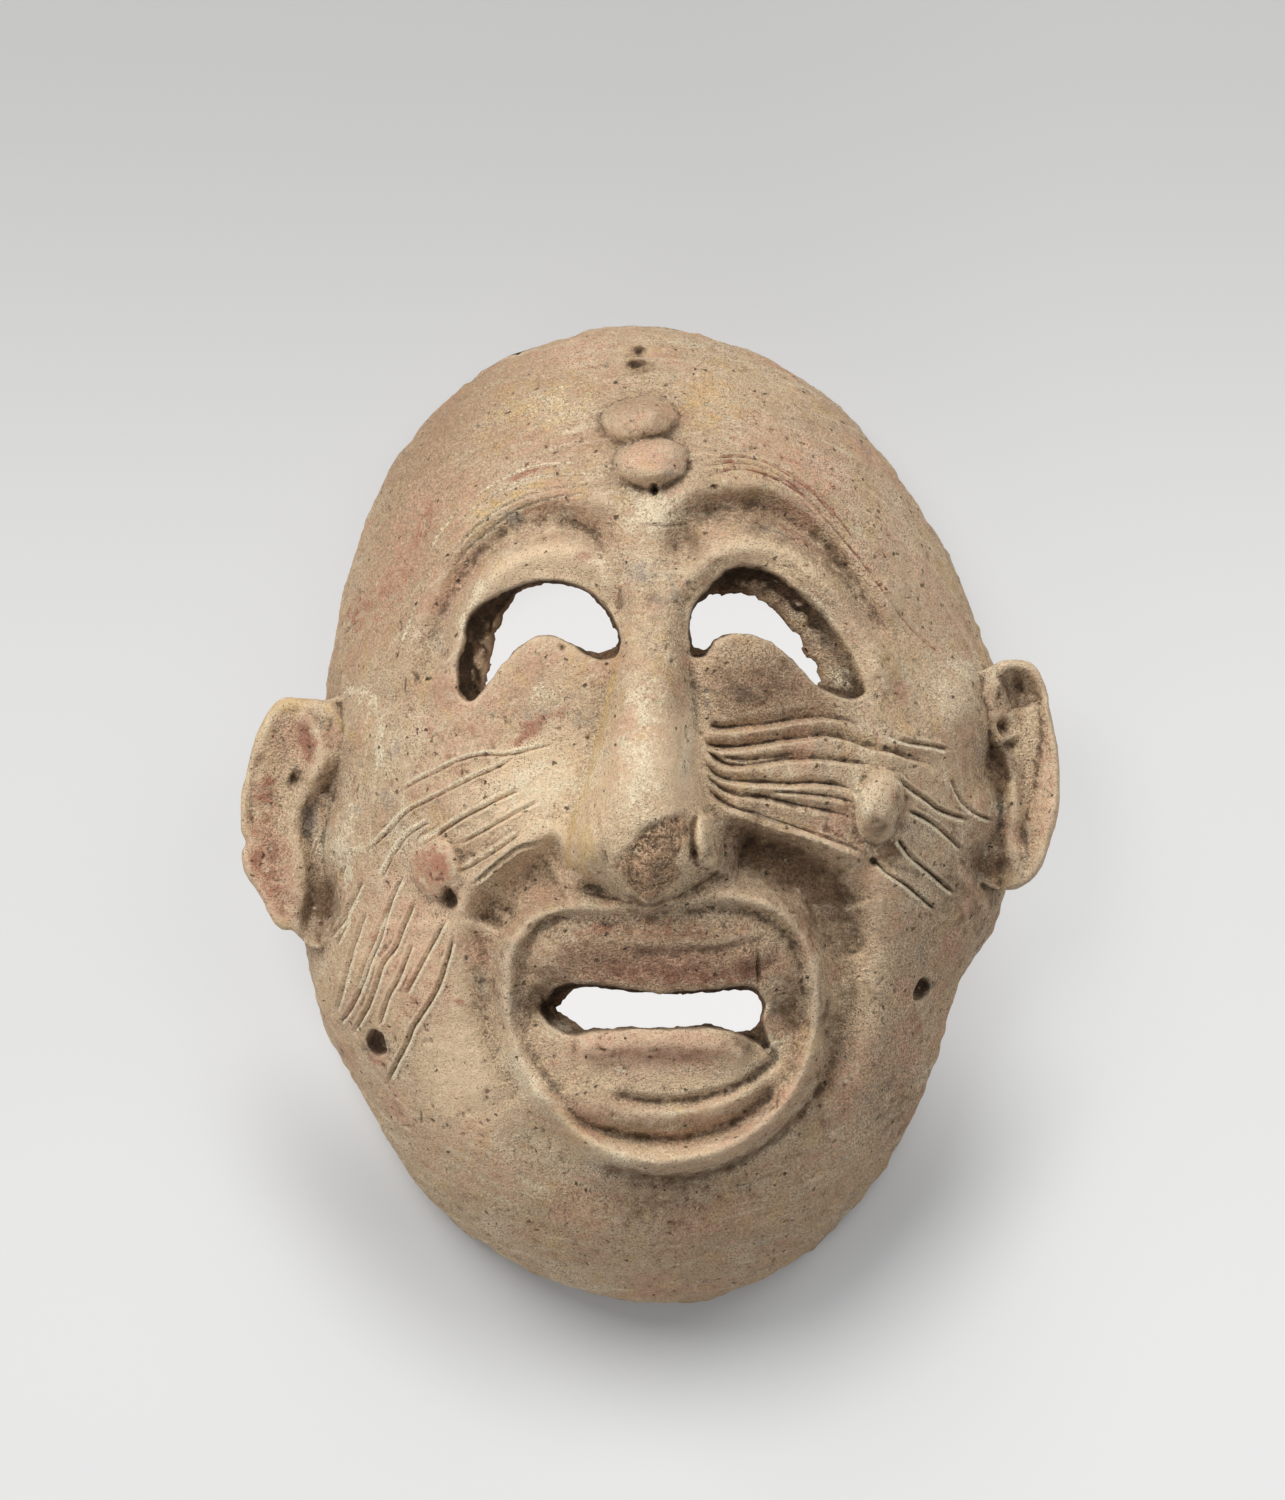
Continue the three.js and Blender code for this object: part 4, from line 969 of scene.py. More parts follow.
def ear_form(ear):
    """A dished plate with a rounded edge that thickens towards the head."""
    ring = resample(spline(ear["outline"], 10, True), 240)
    middle = ring.mean(0)
    angle = np.arctan2(ring[:, 1] - middle[1], ring[:, 0] - middle[0])
    order = np.argsort(angle)

    def place(across, up, is_top):
        s, t = rounded(across, up)
        turn = np.arctan2(t, s)
        far_x, far_y = (
            np.interp(turn, angle[order], ring[order, k], period=2 * np.pi) - middle[k] for k in (0, 1)
        )
        share = np.hypot(s, t)
        x, y = middle[0] + far_x * share, middle[1] + far_y * share
        gap = (1 - share) * np.hypot(far_x, far_y)
        level = ear["level"] + EAR_LEAN * np.maximum(0, EAR_LEAN_FROM - ear["side"] * x)
        within = in_outline(x, y, ear["face"])
        crest = ear["rim"] * bell((within - EAR_CREST) / EAR_CREST_WIDTH)
        front = level + crest - ear["dish"] * smooth_step(*EAR_DISH, within)
        front = np.where(within > 0, front, level) - EAR_STEP * smooth_step(*EAR_STEP_REACH, -within)
        for height, left, right, line in ear["ridges"]:
            front += stroke(x, y, height, left, right, line)
        thick = EAR_EDGE + EAR_ROOT * smooth_step(EAR_ROOT_FROM, EAR_ROOT_FULL, ear["side"] * x)
        rounding = np.sqrt(np.clip(1 - (1 - np.clip(gap / EAR_ROUNDING, 0, 1)) ** 2, 0, 1))
        centre = level - EAR_EDGE / 2
        top = centre + (front - centre) * rounding
        bottom = centre - (thick - EAR_EDGE / 2) * rounding
        return np.stack([x, y, np.where(is_top, top, bottom - EAR_GAP)], axis=1)

    return closed_sheet(ear["name"], EAR_CELLS, place)


def cord_hole_form(at, radius, size):
    """A bored hole that leans half-way from straight down to square to the face, and is worn wider outside."""
    right, up, level = face_slope(at, CORD_STEP, size.depth)
    axis = (Vector((-right, -up, 1)).normalized() + Vector((0, 0, 1))).normalized()
    centre = Vector((at[0], at[1], level))
    turn = axis.to_track_quat("Z", "Y")
    rings = []
    for rise, wider in CORD_COURSE:
        ring = []
        for k in range(CORD_SIDES):
            a = 2 * np.pi * k / CORD_SIDES
            r = radius * wider * (1 + 0.06 * np.sin(2 * a + at[0]) + 0.04 * np.sin(3 * a))
            ring.append(tuple(centre + turn @ Vector((r * np.cos(a), r * np.sin(a), rise))))
        rings.append(ring)
    return tube("cord hole", rings)


def vertex_normals(o):
    n = np.empty(len(o.data.vertices) * 3, np.float32)
    o.data.vertex_normals.foreach_get("vector", n)
    return n.reshape(-1, 3).astype(float)


def neighbours(o):
    e = np.empty(len(o.data.edges) * 2, np.int32)
    o.data.edges.foreach_get("vertices", e)
    return e.reshape(-1, 2)


def averaged(values, edges, times):
    """Each point's value drawn to the mean of its neighbours', a number of times."""
    count = np.bincount(edges.ravel(), minlength=len(values)).astype(float)
    out = values.copy()
    for _ in range(times):
        total = np.zeros_like(out)
        for k in range(out.shape[1]):
            total[:, k] = np.bincount(edges[:, 0], out[edges[:, 1], k], len(out))
            total[:, k] += np.bincount(edges[:, 1], out[edges[:, 0], k], len(out))
        out = 0.4 * out + 0.6 * total / np.maximum(count, 1)[:, None]
    return out


def in_hollow(p, size, margin):
    """The points on the inside of the mask."""
    x, y, z = p.T
    under = z < inside_height(x, y, size.depth, size.wall) + margin
    return under & (np.hypot(x, y) < rim_radius(x, y) - size.wall + HOLLOW_SIDE)


def fine_relief(p, n, size):
    """Height of the fine relief along the surface's normal: incisions, pits, chips and the hand's marks."""
    x, y, z = p.T
    inside = in_hollow(p, size, 1.2)
    seen = smooth_step(*SEEN_LEAN, n[:, 2]) * (z > SEEN_FROM) * ~inside
    out = np.zeros(len(p))
    for depth, above, below, line in FOLDS_RIGHT:
        out += seen * fold(x, y, depth, above, below, line) * size.incision
    for depth, left, right, line in ALL_CUTS:
        out += seen * incision(x, y, depth, left, right, line) * size.incision
    for pit in PITS:
        out -= seen * mound(x, y, *pit)
    outer = np.where(inside, INSIDE_SHARE, 1.0)
    out += outer * roughness(p, HAND_MARKS)
    pores = smooth_step(0.5, 0.85, lattice(p, *PORES)) * smooth_step(-0.2, 0.5, lattice(p, *PORE_FIELDS))
    out -= outer * PORE_DEPTH * pores
    rim = smooth_step(*RIM_ROUGH, z) * ~inside
    out += rim * (roughness(p * RIM_STRETCH, RIM_ROUGHNESS) - RIM_WORN)
    for at, width, depth in BITES:
        out -= rim * mound(x, y, at, (width, width), depth)
    out += is_cut(p, n, size) * roughness(p, WALL_ROUGHNESS)
    tip = seen * smooth_step(*BREAK_EDGE, in_outline(x, y, BROKEN_TIP)) * (z > BREAK_FROM)
    fibres = p @ FIBRE_TURN * FIBRE_STRETCH
    rough = sum(roughness(q, [mark]) for q, mark in zip((p, fibres, p), BREAK_ROUGHNESS))
    return out + tip * (rough - BREAK_SINK)


def is_cut(p, n, size):
    """The walls of the eyes' and the mouth's openings, from a little under the face's surface."""
    x, y, z = p.T
    deep = np.zeros(len(p))
    for _, outer, _ in OPENINGS:
        here = near(x, y, spline(outer, 6, True), 3)
        deep[here] = np.maximum(deep[here], smooth_step(*WALL_EDGE, in_outline(x[here], y[here], outer)))
    under = smooth_step(*WALL_UNDER, face_height(x, y, size.depth) - z) * (z > WALL_FROM)
    return deep * under * smooth_step(*WALL_LEAN, n[:, 2]) * np.clip(1 - mounds(x, y, LIT_WALLS), 0, 1)


def select_points(o, chosen):
    """Selects the chosen vertices, with the edges and faces between them."""
    o.data.vertices.foreach_set("select", chosen)
    e = neighbours(o)
    o.data.edges.foreach_set("select", chosen[e[:, 0]] & chosen[e[:, 1]])
    corner = np.empty(len(o.data.loops), np.int32)
    o.data.loops.foreach_get("vertex_index", corner)
    start = np.empty(len(o.data.polygons), np.int32)
    o.data.polygons.foreach_get("loop_start", start)
    o.data.polygons.foreach_set("select", np.logical_and.reduceat(chosen[corner], start))


def near_lines(p, size):
    """Where the surface needs a finer mesh: along the folds, cuts and pits, and at the broken tip."""
    x, y, z = p.T
    out = in_outline(x, y, BROKEN_TIP) > -0.5
    for lines, reach in ((FOLDS_RIGHT, FOLD_REACH), (ALL_CUTS, CUT_REACH)):
        for *_, points in lines:
            line = spline(points, 3)
            here = near(x, y, line, reach)
            out[here] |= np.abs(to_line(x[here], y[here], line)[0]) < reach
    for at, radii, *_ in PITS:
        out |= np.hypot(x - at[0], y - at[1]) < 1.5 * max(radii)
    return out & (z > FINE_FROM) & ~in_hollow(p, size, HOLLOW_MARGIN)


def triangles(o):
    o.data.calc_loop_triangles()
    return len(o.data.loop_triangles)


def thin(o, chosen, ratio=None, left=None):
    """Merges faces where they matter least, only among the chosen vertices, by a ratio or to a number of triangles."""
    select_points(o, chosen)
    if left:
        picked = 2 * sum(face.select for face in o.data.polygons)
        ratio = 1 - (triangles(o) - left) / picked
    only(o)
    bpy.ops.object.mode_set(mode="EDIT")
    bpy.ops.mesh.decimate(ratio=min(1.0, max(LEAST_RATIO, ratio)))
    bpy.ops.object.mode_set(mode="OBJECT")


def is_busy(o, size):
    """The points of the face's middle part, where the relief is finest."""
    p = points_of(o) / MM
    x, y, z = p.T
    middle = (np.abs(x - BUSY_MIDDLE) < BUSY_HALF) & (y > BUSY_LOW) & (y < BUSY_HIGH) & (z > BUSY_LEVEL)
    return middle & ~in_hollow(p, size, HOLLOW_MARGIN)


def mask_form(size):
    """The mask as one plain body: its form with the ears and pellets joined on, and the openings cut out."""
    mask = outer_form(size)
    for ear in EARS:
        combine(mask, ear_form(ear), "UNION")
    for pellet in PELLETS:
        combine(mask, pellet_form(*pellet, size), "UNION")
    combine(mask, hollow_form(size), "DIFFERENCE")
    for opening in OPENINGS:
        combine(mask, opening_form(*opening, size), "DIFFERENCE")
    for at, radius in CORD_HOLES:
        combine(mask, cord_hole_form(at, radius, size), "DIFFERENCE")
    return mask


def mask_piece(size):
    """The whole mask: its form, then one skin of fine clay with its relief and the layers of its finish."""
    mask = mask_form(size)
    voxel = VOXEL
    apply_modifier(mask, "skin", "REMESH", mode="VOXEL", voxel_size=voxel * MM, adaptivity=0.0)
    apply_modifier(mask, "soften", "SMOOTH", factor=SOFTEN_SHARE, iterations=SOFTEN_ROUNDS)
    select_points(mask, near_lines(points_of(mask) / MM, size))
    only(mask)
    bpy.ops.object.mode_set(mode="EDIT")
    bpy.ops.mesh.subdivide(number_cuts=1, quadcorner="INNERVERT")
    bpy.ops.object.mode_set(mode="OBJECT")
    p = points_of(mask) / MM
    n = vertex_normals(mask)
    p = p + n * fine_relief(p, n, size)[:, None]
    p[:, 2] = np.where(p[:, 2] < SET_DOWN, 0, p[:, 2])
    low, high = (np.array(corner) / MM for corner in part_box(NODE))
    p = np.clip(p, low, high)
    set_points(mask, p * MM)
    paint(mask, size)
    thin(mask, in_hollow(points_of(mask) / MM, size, HOLLOW_MARGIN), THIN_INSIDE)
    thin(mask, ~is_busy(mask, size), THIN_OUTSIDE)
    thin(mask, is_busy(mask, size), left=size.most_faces)
    faces = triangles(mask)
    if faces > size.most_faces:
        apply_modifier(mask, "thin", "DECIMATE", ratio=size.most_faces / faces)
    only(mask)
    bpy.ops.object.shade_smooth_by_angle(angle=SHARP_EDGE)
    mask.name = "mask"
    mask.data.name = "mask"
    return mask


# ---- Where the finish changes ---------------------------------------------------------------------------------


# Stains by layer, with painted shade and painted light among them, each a soft spot: (centre, half widths, strength,
# turn in degrees)
STAINS = {
    "red_paint": [
        ((-28.1, 20.9), (5.4, 2.6), 0.75, 28), ((-23.8, 23.7), (6.0, 2.4), 0.55, 24),
        ((-31.4, 18), (4.4, 2.0), 0.5, 20), ((-82.7, 18.8), (2.6, 6.5), 0.9, 10),
        ((-95.1, -10.7), (2.6, 3.4), 0.9, 0), ((-51, -12.2), (5.5, 7.0), 0.95, 10),
        ((-58.9, 61.5), (6, 26), 0.5, -28), ((-2.4, -26.7), (24, 4), 0.6, 0), ((3.5, -36.7), (27, 4.6), 0.75, 0),
        ((-0.5, -55.8), (24, 3.6), 0.55, 0), ((-90.7, -15.5), (5, 12), 0.7, 20),
        ((-61.8, -34.4), (12, 18), 0.5, 15), ((34.7, 80.6), (20, 3.0), 0.5, -38),
        ((-26.4, 82.9), (22, 2.6), 0.5, 15), ((-46.2, 13.5), (20, 12), 0.45, 20),
        ((28.7, 87.3), (16, 6), 0.35, -20), ((-93.9, 3.8), (4.5, 14), 0.7, 0), ((-65.8, -58.3), (3, 2.2), 1.0, 0),
        ((-79.3, 15.4), (2.5, 8), 0.5, 0), ((-40.5, 18.3), (12, 8), 0.4, 30), ((-70, 49.7), (6, 12), 0.5, -15),
        ((-16, 62.1), (2.8, 1.4), 0.8, 0), ((94.2, 3.8), (4, 16), 0.45, 0), ((-12.1, 107.5), (12, 5), 0.35, 20),
        ((-90, -8), (3, 3), 0.8, 0), ((22.7, 82.9), (12, 2), 0.45, -20), ((64.4, -51.5), (4, 6), 0.5, 0),
        ((-46.6, -41.3), (4, 12), 0.4, 10),
    ],
    # Brown stains; some spots are painted shade: under the nose, on the upper lip, in the hollow right of the nose and
    # mouth, on the chin, in a pit and under the right cheek's pellet
    "brown_stain": [
        ((24.1, 30.6), (18, 8.0), 0.6, -6), ((30.8, 35.4), (8, 8), 0.5, -45), ((22.6, 72.4), (16, 4.2), 0.45, 8),
        ((10.4, 65.9), (4.5, 9), 0.6, 20), ((42.5, 63.2), (13, 3.6), 0.8, -50), ((-39.2, 64.1), (9, 3), 0.6, 42),
        ((-14.8, 67.8), (7, 2.0), 0.5, -35), ((33.2, -12.1), (17, 8), 1.1, -28), ((22.5, -7.3), (9, 7), 1.0, 0),
        ((45.7, -31.8), (7, 18), 0.6, 0), ((39.9, -21), (12, 12), 0.8, 0), ((42.3, -48.4), (4, 14), 0.6, 12),
        ((-29, -14.9), (12, 9), 0.4, 40), ((-38.4, -35.2), (5, 22), 0.4, 0), ((3.5, -33.4), (28, 7), 0.75, 0),
        ((57.2, -7.9), (3.5, 4.0), 1.0, 0), ((59.6, 0.4), (2.0, 6.0), 0.8, 0), ((-77.4, 8.6), (4, 10), 0.5, -25),
        ((-79.5, -21.2), (6, 9), 1.1, 0), ((84.5, 13), (3.4, 9), 0.9, 0), ((81.7, -12.2), (8, 7), 0.9, 0),
        ((88.9, 30.4), (7, 6), 0.7, 0), ((-86.1, 9.1), (2.6, 3.0), 0.9, 0), ((33.2, -45.9), (5, 10), 0.8, 0),
        ((-25.5, -43.4), (6, 6), 1.0, 0), ((-2.4, -18.9), (14, 1.6), 0.7, 0), ((1.2, -93), (30, 8), 0.5, 0),
        ((1.1, 50.2), (5, 12), 0.3, 0), ((39.4, -68.9), (8, 12), 0.45, 40), ((75.6, -20.7), (9, 14), 0.6, 25),
        ((60.9, -74.3), (8, 20), 0.45, 25), ((15.1, 19.5), (2.0, 16), 0.3, 0), ((-48.1, -19.8), (2.4, 3.2), 1.1, 0),
        ((-2.4, 108.7), (5, 2.5), 0.7, 0), ((52.5, -37.9), (5, 12), 0.45, 0), ((11.8, -31), (14, 3), 0.7, 0),
        ((53.4, -2.5), (4.0, 3.4), 0.9, 0), ((22.5, -53), (6, 5), 0.8, 0), ((25, 70.8), (20, 5), 0.5, -8),
        ((35.8, 64.8), (12, 5), 0.45, -40), ((2.3, -39.8), (26, 2), 0.6, 0), ((0.4, -3.8), (4.0, 2.6), 1.2, 30),
        ((-2.4, -15.5), (6, 1.8), 0.6, -20),
    ],
    "pale_crust": [
        ((-68.6, 23.1), (4, 9), 0.6, 0), ((-74.9, -7.3), (8, 8), 0.7, 0), ((76.2, 36.6), (7, 5), 0.55, 0),
        ((84.5, 1.4), (3.5, 4), 0.9, 0), ((1.1, 73.6), (13, 7), 0.8, 0), ((49.9, 4), (2.4, 8), 0.85, 10),
        ((-20, -49.7), (4.5, 3.0), 1.0, 20), ((-28.6, -64.9), (4, 14), 0.6, 30), ((-43, 51.7), (6, 20), 0.4, -20),
        ((-21.7, 100.1), (22, 8), 0.32, 30), ((46.6, 33.1), (3.4, 3.4), 0.9, -50),
        ((-2.4, -60.1), (24, 1.6), 0.55, 0), ((21.8, -59.7), (10, 3), 0.5, 15), ((-24.3, 6.9), (16, 9), 0.9, 25),
        # The third spot here is painted light on the nose's right flank
        ((-11.9, 61.1), (4, 12), 0.45, 0), ((-2.4, 15.9), (8, 24), 0.7, 0), ((8.9, 17.1), (2.4, 20), 0.7, -6),
        ((-33.6, -78.7), (6, 8), 0.5, 40), ((-15.4, -18.4), (6, 5), 0.6, 30), ((28.6, -79.6), (12, 3), 0.5, 25),
        ((1.1, -81.2), (26, 2.4), 0.5, 0), ((2.3, -60.6), (22, 4.5), 0.3, 0), ((-26.2, 30.1), (12, 4), 0.4, 0),
        ((29.7, -55.5), (3, 4), 0.8, 0), ((71.5, 27.9), (6, 10), 0.35, 0),
    ],
    "ochre": [
        ((-15.4, -6.6), (4, 9), 0.7, 0), ((-34.7, 75.2), (24, 2.4), 0.6, 22), ((12, 100), (16, 12), 0.45, 0),
        ((-88.3, 27.3), (9, 2.0), 0.9, 10), ((-2.4, 8.9), (4, 14), 0.5, 0), ((48.1, 33.5), (3, 4), 0.8, 0),
        ((-90, -26.4), (5, 2), 0.7, 0), ((-26.5, 100.1), (20, 10), 0.45, 20), ((35.7, 46.8), (4, 4), 0.5, 0),
        ((59.8, 42.2), (8, 12), 0.4, 0), ((-40.8, -80.1), (10, 12), 0.4, 0),
    ],
    "blush": [
        ((-91.4, -12.6), (7, 17), 1.0, 12), ((-84.7, 18.3), (6, 9), 0.8, 10), ((-58.6, -33.1), (14, 20), 0.8, 15),
        ((-60.1, 61.6), (8, 28), 0.7, -24), ((36, 85), (24, 8), 0.6, -34), ((-42.9, 26.6), (16, 12), 0.6, 20),
        ((-40.8, -75.2), (8, 16), 0.6, 25), ((47.8, -63.1), (8, 18), 0.6, -20), ((61.3, -56.3), (6, 12), 0.6, 0),
        ((3.5, -35.3), (30, 7), 0.9, 0), ((9.2, 18.3), (2.6, 22), 0.6, -6), ((-25, 4), (16, 5), 0.6, 20),
        ((12, -99.3), (14, 12), 0.5, 30), ((-21.8, 112.9), (24, 6), 0.5, 12), ((-0.1, -56.3), (26, 7), 1.0, 0),
        ((-2.4, 95.5), (8, 5), 0.5, 0), ((0.4, 84.7), (8, 6), 0.7, 0), ((95.6, 6.2), (4, 18), 0.6, 0),
        ((-51, -12.2), (7, 9), 0.6, 10), ((67.5, 54.5), (5, 16), 0.5, 30), ((-14.4, -94.4), (10, 14), 0.4, 10),
        ((12, 102.5), (8, 14), 0.4, 40), ((50.3, 61.4), (5, 16), 0.5, 40),
    ],
    "bluish": [
        ((-33, 71.5), (3.0, 1.4), 1.0, 0), ((-82.5, -1), (2.4, 5), 0.9, 0), ((-2.4, 57.4), (5, 5), 0.5, 0),
        ((20.1, 30.1), (8, 4), 0.5, 0), ((-50.2, 51.7), (4, 12), 0.4, 0), ((57.2, -19.9), (6, 8), 0.4, 0),
    ],
}
# Streaks by layer: (half width, strength, line)
STREAKS = {
    "ochre": [
        (1.1, 0.95, [
            (-7.2, 42), (-8.6, 33.7), (-10.3, 26.6), (-11.9, 19.5), (-13.8, 12.3), (-15.9, 5.2), (-18.1, -0.2),
            (-19.5, -7.8), (-18.6, -13.7),
        ]),
        (0.8, 0.9, [(-78.6, 27), (-76, 24.1), (-74, 21.2), (-69.7, 17.4)]),
        (0.9, 0.7, [(-91.9, 25.8), (-94.8, 20.5), (-97, 13.7), (-98.7, 6.7), (-99.4, 0.9)]),
    ],
    "pale_crust": [
        (1.3, 0.7, [(-74, 30.4), (-68.9, 29.7), (-65.6, 26.5), (-64.8, 19.3), (-65.3, 9.9)]),
        (1.2, 0.9, [(-75, -11.2), (-72.6, -12.6), (-72.1, -15.5), (-74, -18)]),
        (0.9, 0.8, [(53.3, -10.8), (51.4, -6.7), (49.4, -0.8), (48.7, 5.2)]),
        (0.4, 0.5, [(18.6, 82.6), (28.7, 80.5), (39.5, 73.4), (47.8, 63.8), (56.3, 52.8), (67.2, 39.9)]),
        (0.8, 0.7, [(-27.3, 101.7), (-25.3, 100.4), (-23.8, 98.6)]),
        (0.8, 0.7, [(25.1, -54.5), (27.5, -53.5), (29, -51.6)]),
        (0.6, 0.8, [(-72.8, 2.4), (-71.4, 2.8), (-70.2, 1.6), (-70.6, -0.3), (-72.3, -0.5)]),
    ],
    # These streaks are painted shade in recesses: in the cracks beside the right wing, under the nose, under the
    # forehead's pellets, in the grooves and folds round the lips, under the ring's lower edge, in the right ear's
    # groove and in the pits
    "brown_stain": [
        (0.9, 1.1, [(10.6, 0.5), (9.8, -2.9), (10, -7.6), (11.2, -11.9)]),
        (0.6, 1.0, [(-16.2, -18), (-9, -19.2), (-0.1, -20.6), (8.9, -17.7), (17, -12.1)]),
        (0.5, 0.9, [(9.3, -3.9), (10, -7.1), (9.3, -10.4)]),
        (0.7, 0.8, [(5.9, 95.5), (4.7, 92.3), (1.6, 90.8), (-2.4, 90.8)]),
        (0.8, 0.9, [(9.5, 85.2), (8.5, 81.5), (4.7, 78.6), (0.4, 77.7), (-3.9, 78.9)]),
        (0.8, 0.8, [(-2, -30.5), (3.5, -32), (11.8, -31.5), (20.1, -30.3), (26, -28.6)]),
        (0.5, 1.0, [(25.5, -31.5), (26, -35.8), (25.6, -39.6)]),
        (1.0, 0.6, [(-9.1, -66.2), (-2.4, -67.4), (5.2, -67.8), (13.3, -66.6), (20.9, -64), (27.5, -59.3)]),
        (1.2, 0.65, [
            (-17.9, -72.1), (-10.5, -74.3), (-2.4, -76), (6.1, -76.5), (15.7, -74.3), (22.6, -70.5), (29.4, -64.5),
        ]),
        (1.2, 1.2, [(83.6, 18.3), (85.2, 14), (86.7, 8.2)]),
        # Parts of the walls that are left as pale as the face, without the walls' painted shade: (centre, half widths,
        # share)
        (0.8, 0.2, [(-29.9, -41), (-29.2, -32.7), (-25.9, -26.3), (-18.5, -22.6)]),
        (1.6, 0.8, [(-12, -83.3), (2.3, -86.4), (13.1, -85.3), (23.8, -81), (33.4, -73.8), (41, -63.8)]),
        (0.9, 1.1, [(-14.3, 38.4), (-11, 39.2), (-7.9, 39.6)]),
        (0.9, 1.1, [(9.4, 39.2), (11.8, 40.1), (13.9, 40.8)]),
        (0.9, 1.5, [(-5.3, 109), (-1, 109.7)]),
        (0.9, 1.5, [(-4.4, 112.6), (-1.2, 113.1)]),
    ],
}


# Broad washes that darken the clay or lighten it, with painted shade on the chin and on the upper lip under the nose,
# and painted light on the nose's right flank: (centre, half widths, strength, turn in degrees)
DARKER_AND_SHADED = [
    ((-61.4, 61.6), (12, 34), 0.55, -22), ((-2.4, 112.6), (60, 12), 0.3, 0), ((-53.3, 93.5), (26, 18), 0.55, 35),
    # The first spot here is painted shade on the chin, where it turns down
    ((2.4, -95.5), (40, 12), 0.35, 0), ((-50.8, -85.6), (16, 16), 0.3, 0), ((-2.4, 96.9), (12, 8), 0.6, 0),
    # The first spot here is the upper lip's darker tone and painted shade under the nose
    ((2.3, -34.3), (32, 9), 1.15, 0), ((24.1, 30.6), (20, 9), 1.2, -6), ((25, 72), (20, 6), 0.6, -8),
]
PALER_AND_LIT = [
    ((-27.3, 7.6), (18, 12), 1.2, 20), ((-1.3, 18.2), (10, 26), 0.2, 0), ((-21.5, 58.7), (12, 5), 0.5, 0),
    ((-43.1, -65.4), (12, 16), 0.55, 20), ((1.1, 71.9), (12, 8), 0.2, 0), ((59.9, 47.1), (10, 14), 0.5, -30),
    ((2.3, -60.1), (20, 6), 0.3, 0), ((47.7, -43.8), (7, 20), 0.5, 0), ((55, -39.1), (8, 16), 0.4, 0),
    # The second spot here is painted light on the nose's right flank, which is turned from the key light
    ((-21.4, -5.4), (8, 5), 0.5, 20), ((9.4, 18.3), (5, 24), 1.3, -8), ((-41.9, -65.4), (13, 14), 0.7, 20),
    ((-27.4, 61.1), (12, 3), 0.6, 15), ((2.3, -79.7), (28, 3), 0.6, 0), ((-58.6, -34.3), (16, 18), 0.8, 20),
    ((13.2, -5.4), (3, 8), 0.9, 0), ((26.1, 61.2), (16, 5), 0.5, -10), ((-90.8, 1.4), (10, 26), 0.6, 0),
    ((94.3, 11.1), (7, 26), 0.75, 0), ((2.3, -58.7), (26, 8), 1.2, 0), ((-0.1, -10.4), (11, 9), 1.6, 0),
    ((-32.1, -16.1), (8, 8), 0.5, 0), ((27.4, 64), (18, 4), 0.5, -25),
]


# Where the hollows and creases get neither dirt nor painted shade: (centre, half widths, share, turn in degrees)
CLEAN_AND_UNSHADED = [
    ((-13.8, 17.1), (6, 30), 1.0, -14), ((-25, 4), (14, 8), 0.6, 20), ((2.3, -79.3), (30, 4), 0.5, 0),
    ((-30.9, -43.3), (6, 30), 0.6, 0), ((-21.5, 58.7), (14, 8), 0.5, 10), ((-92, -1), (8, 30), 0.5, 0),
]

# Where the surface is grittier, by the amount that follows: (centre, half widths)
GRITTY = [
    ((2.3, -43.4), (36, 28)), ((93, 11.1), (12, 30)), ((-90.8, 1.4), (12, 30)), ((60, -53.8), (16, 30)),
    ((33.3, 46.8), (26, 30)), ((1.1, -9.8), (14, 12)),
]
GRIT = 0.4

# Incised lines that are seen pale or red, and those that get painted shade: (share, lines, half width, how far off to
# their left it is most)
PALE_LINES = [
    (1.0, CHEEK_CUTS_LEFT + CUTS_RIGHT, 0.45, -0.75),
    (1.0, JAW_CUTS_LEFT, 0.45, 0.8),
    (0.75, BROW_LINES_LEFT, 0.4, 0.0),
]
PAINTED_SHADE_LINES = [
    (1.0, FOLDS_RIGHT, 0.55, 0.25),
    (0.7, CUTS_RIGHT, 0.45, 0.0),
    (0.35, JAW_CUTS_LEFT + BROW_LINES_RIGHT, 0.4, 0.0),
]
RED_LINES = [(1.0, BROW_LINES_RIGHT, 0.45, 0.0)]

STREAK_ENDS = (0.06, 0.3)  # share of a streak's length over which it fades, and how much is left at its ends
NEAR_ROUNDS, WIDE_ROUNDS = 5, 50  # rounds of averaging that find the creases and the broad hollows
CREASE_FULL, HOLLOW_FULL = 0.12, 0.9  # depths in millimetres at which they count in full
BREAK_FRAY, BREAK_FRAY_PATTERN = 1.1, (3.6, 91)  # how uneven the edge of the break's colour is, and its pattern


def washed_lit_and_shaded(x, y):
    """How much the clay is lighter, above 0, or darker, below 0, in broad washes and painted light and shade."""
    return mounds(x, y, PALER_AND_LIT) - mounds(x, y, DARKER_AND_SHADED)


def stained(x, y, layer):
    """How much of a layer is at each point."""
    out = np.zeros_like(x)
    for spot in STAINS[layer]:
        out = np.maximum(out, mound(x, y, *spot))
    for width, strength, line in STREAKS.get(layer, []):
        out = np.maximum(out, stroke(x, y, strength, width, width, line, *STREAK_ENDS))
    return out


def lined(x, y, table):
    """How near each point is to incised lines: (share, lines, half width, how far off to their left it is most)."""
    out = np.zeros_like(x)
    for most, lines, width, shift in table:
        for *_, points in lines:
            line = spline(points)
            here = near(x, y, line, 4 * width)
            if here.any():
                gap, share = to_line(x[here], y[here], line)
                fade = smooth_step(0, 0.1, share) * smooth_step(0, 0.1, 1 - share)
                out[here] = np.maximum(out[here], most * (fade * bell((gap - shift) / width)))
    return out


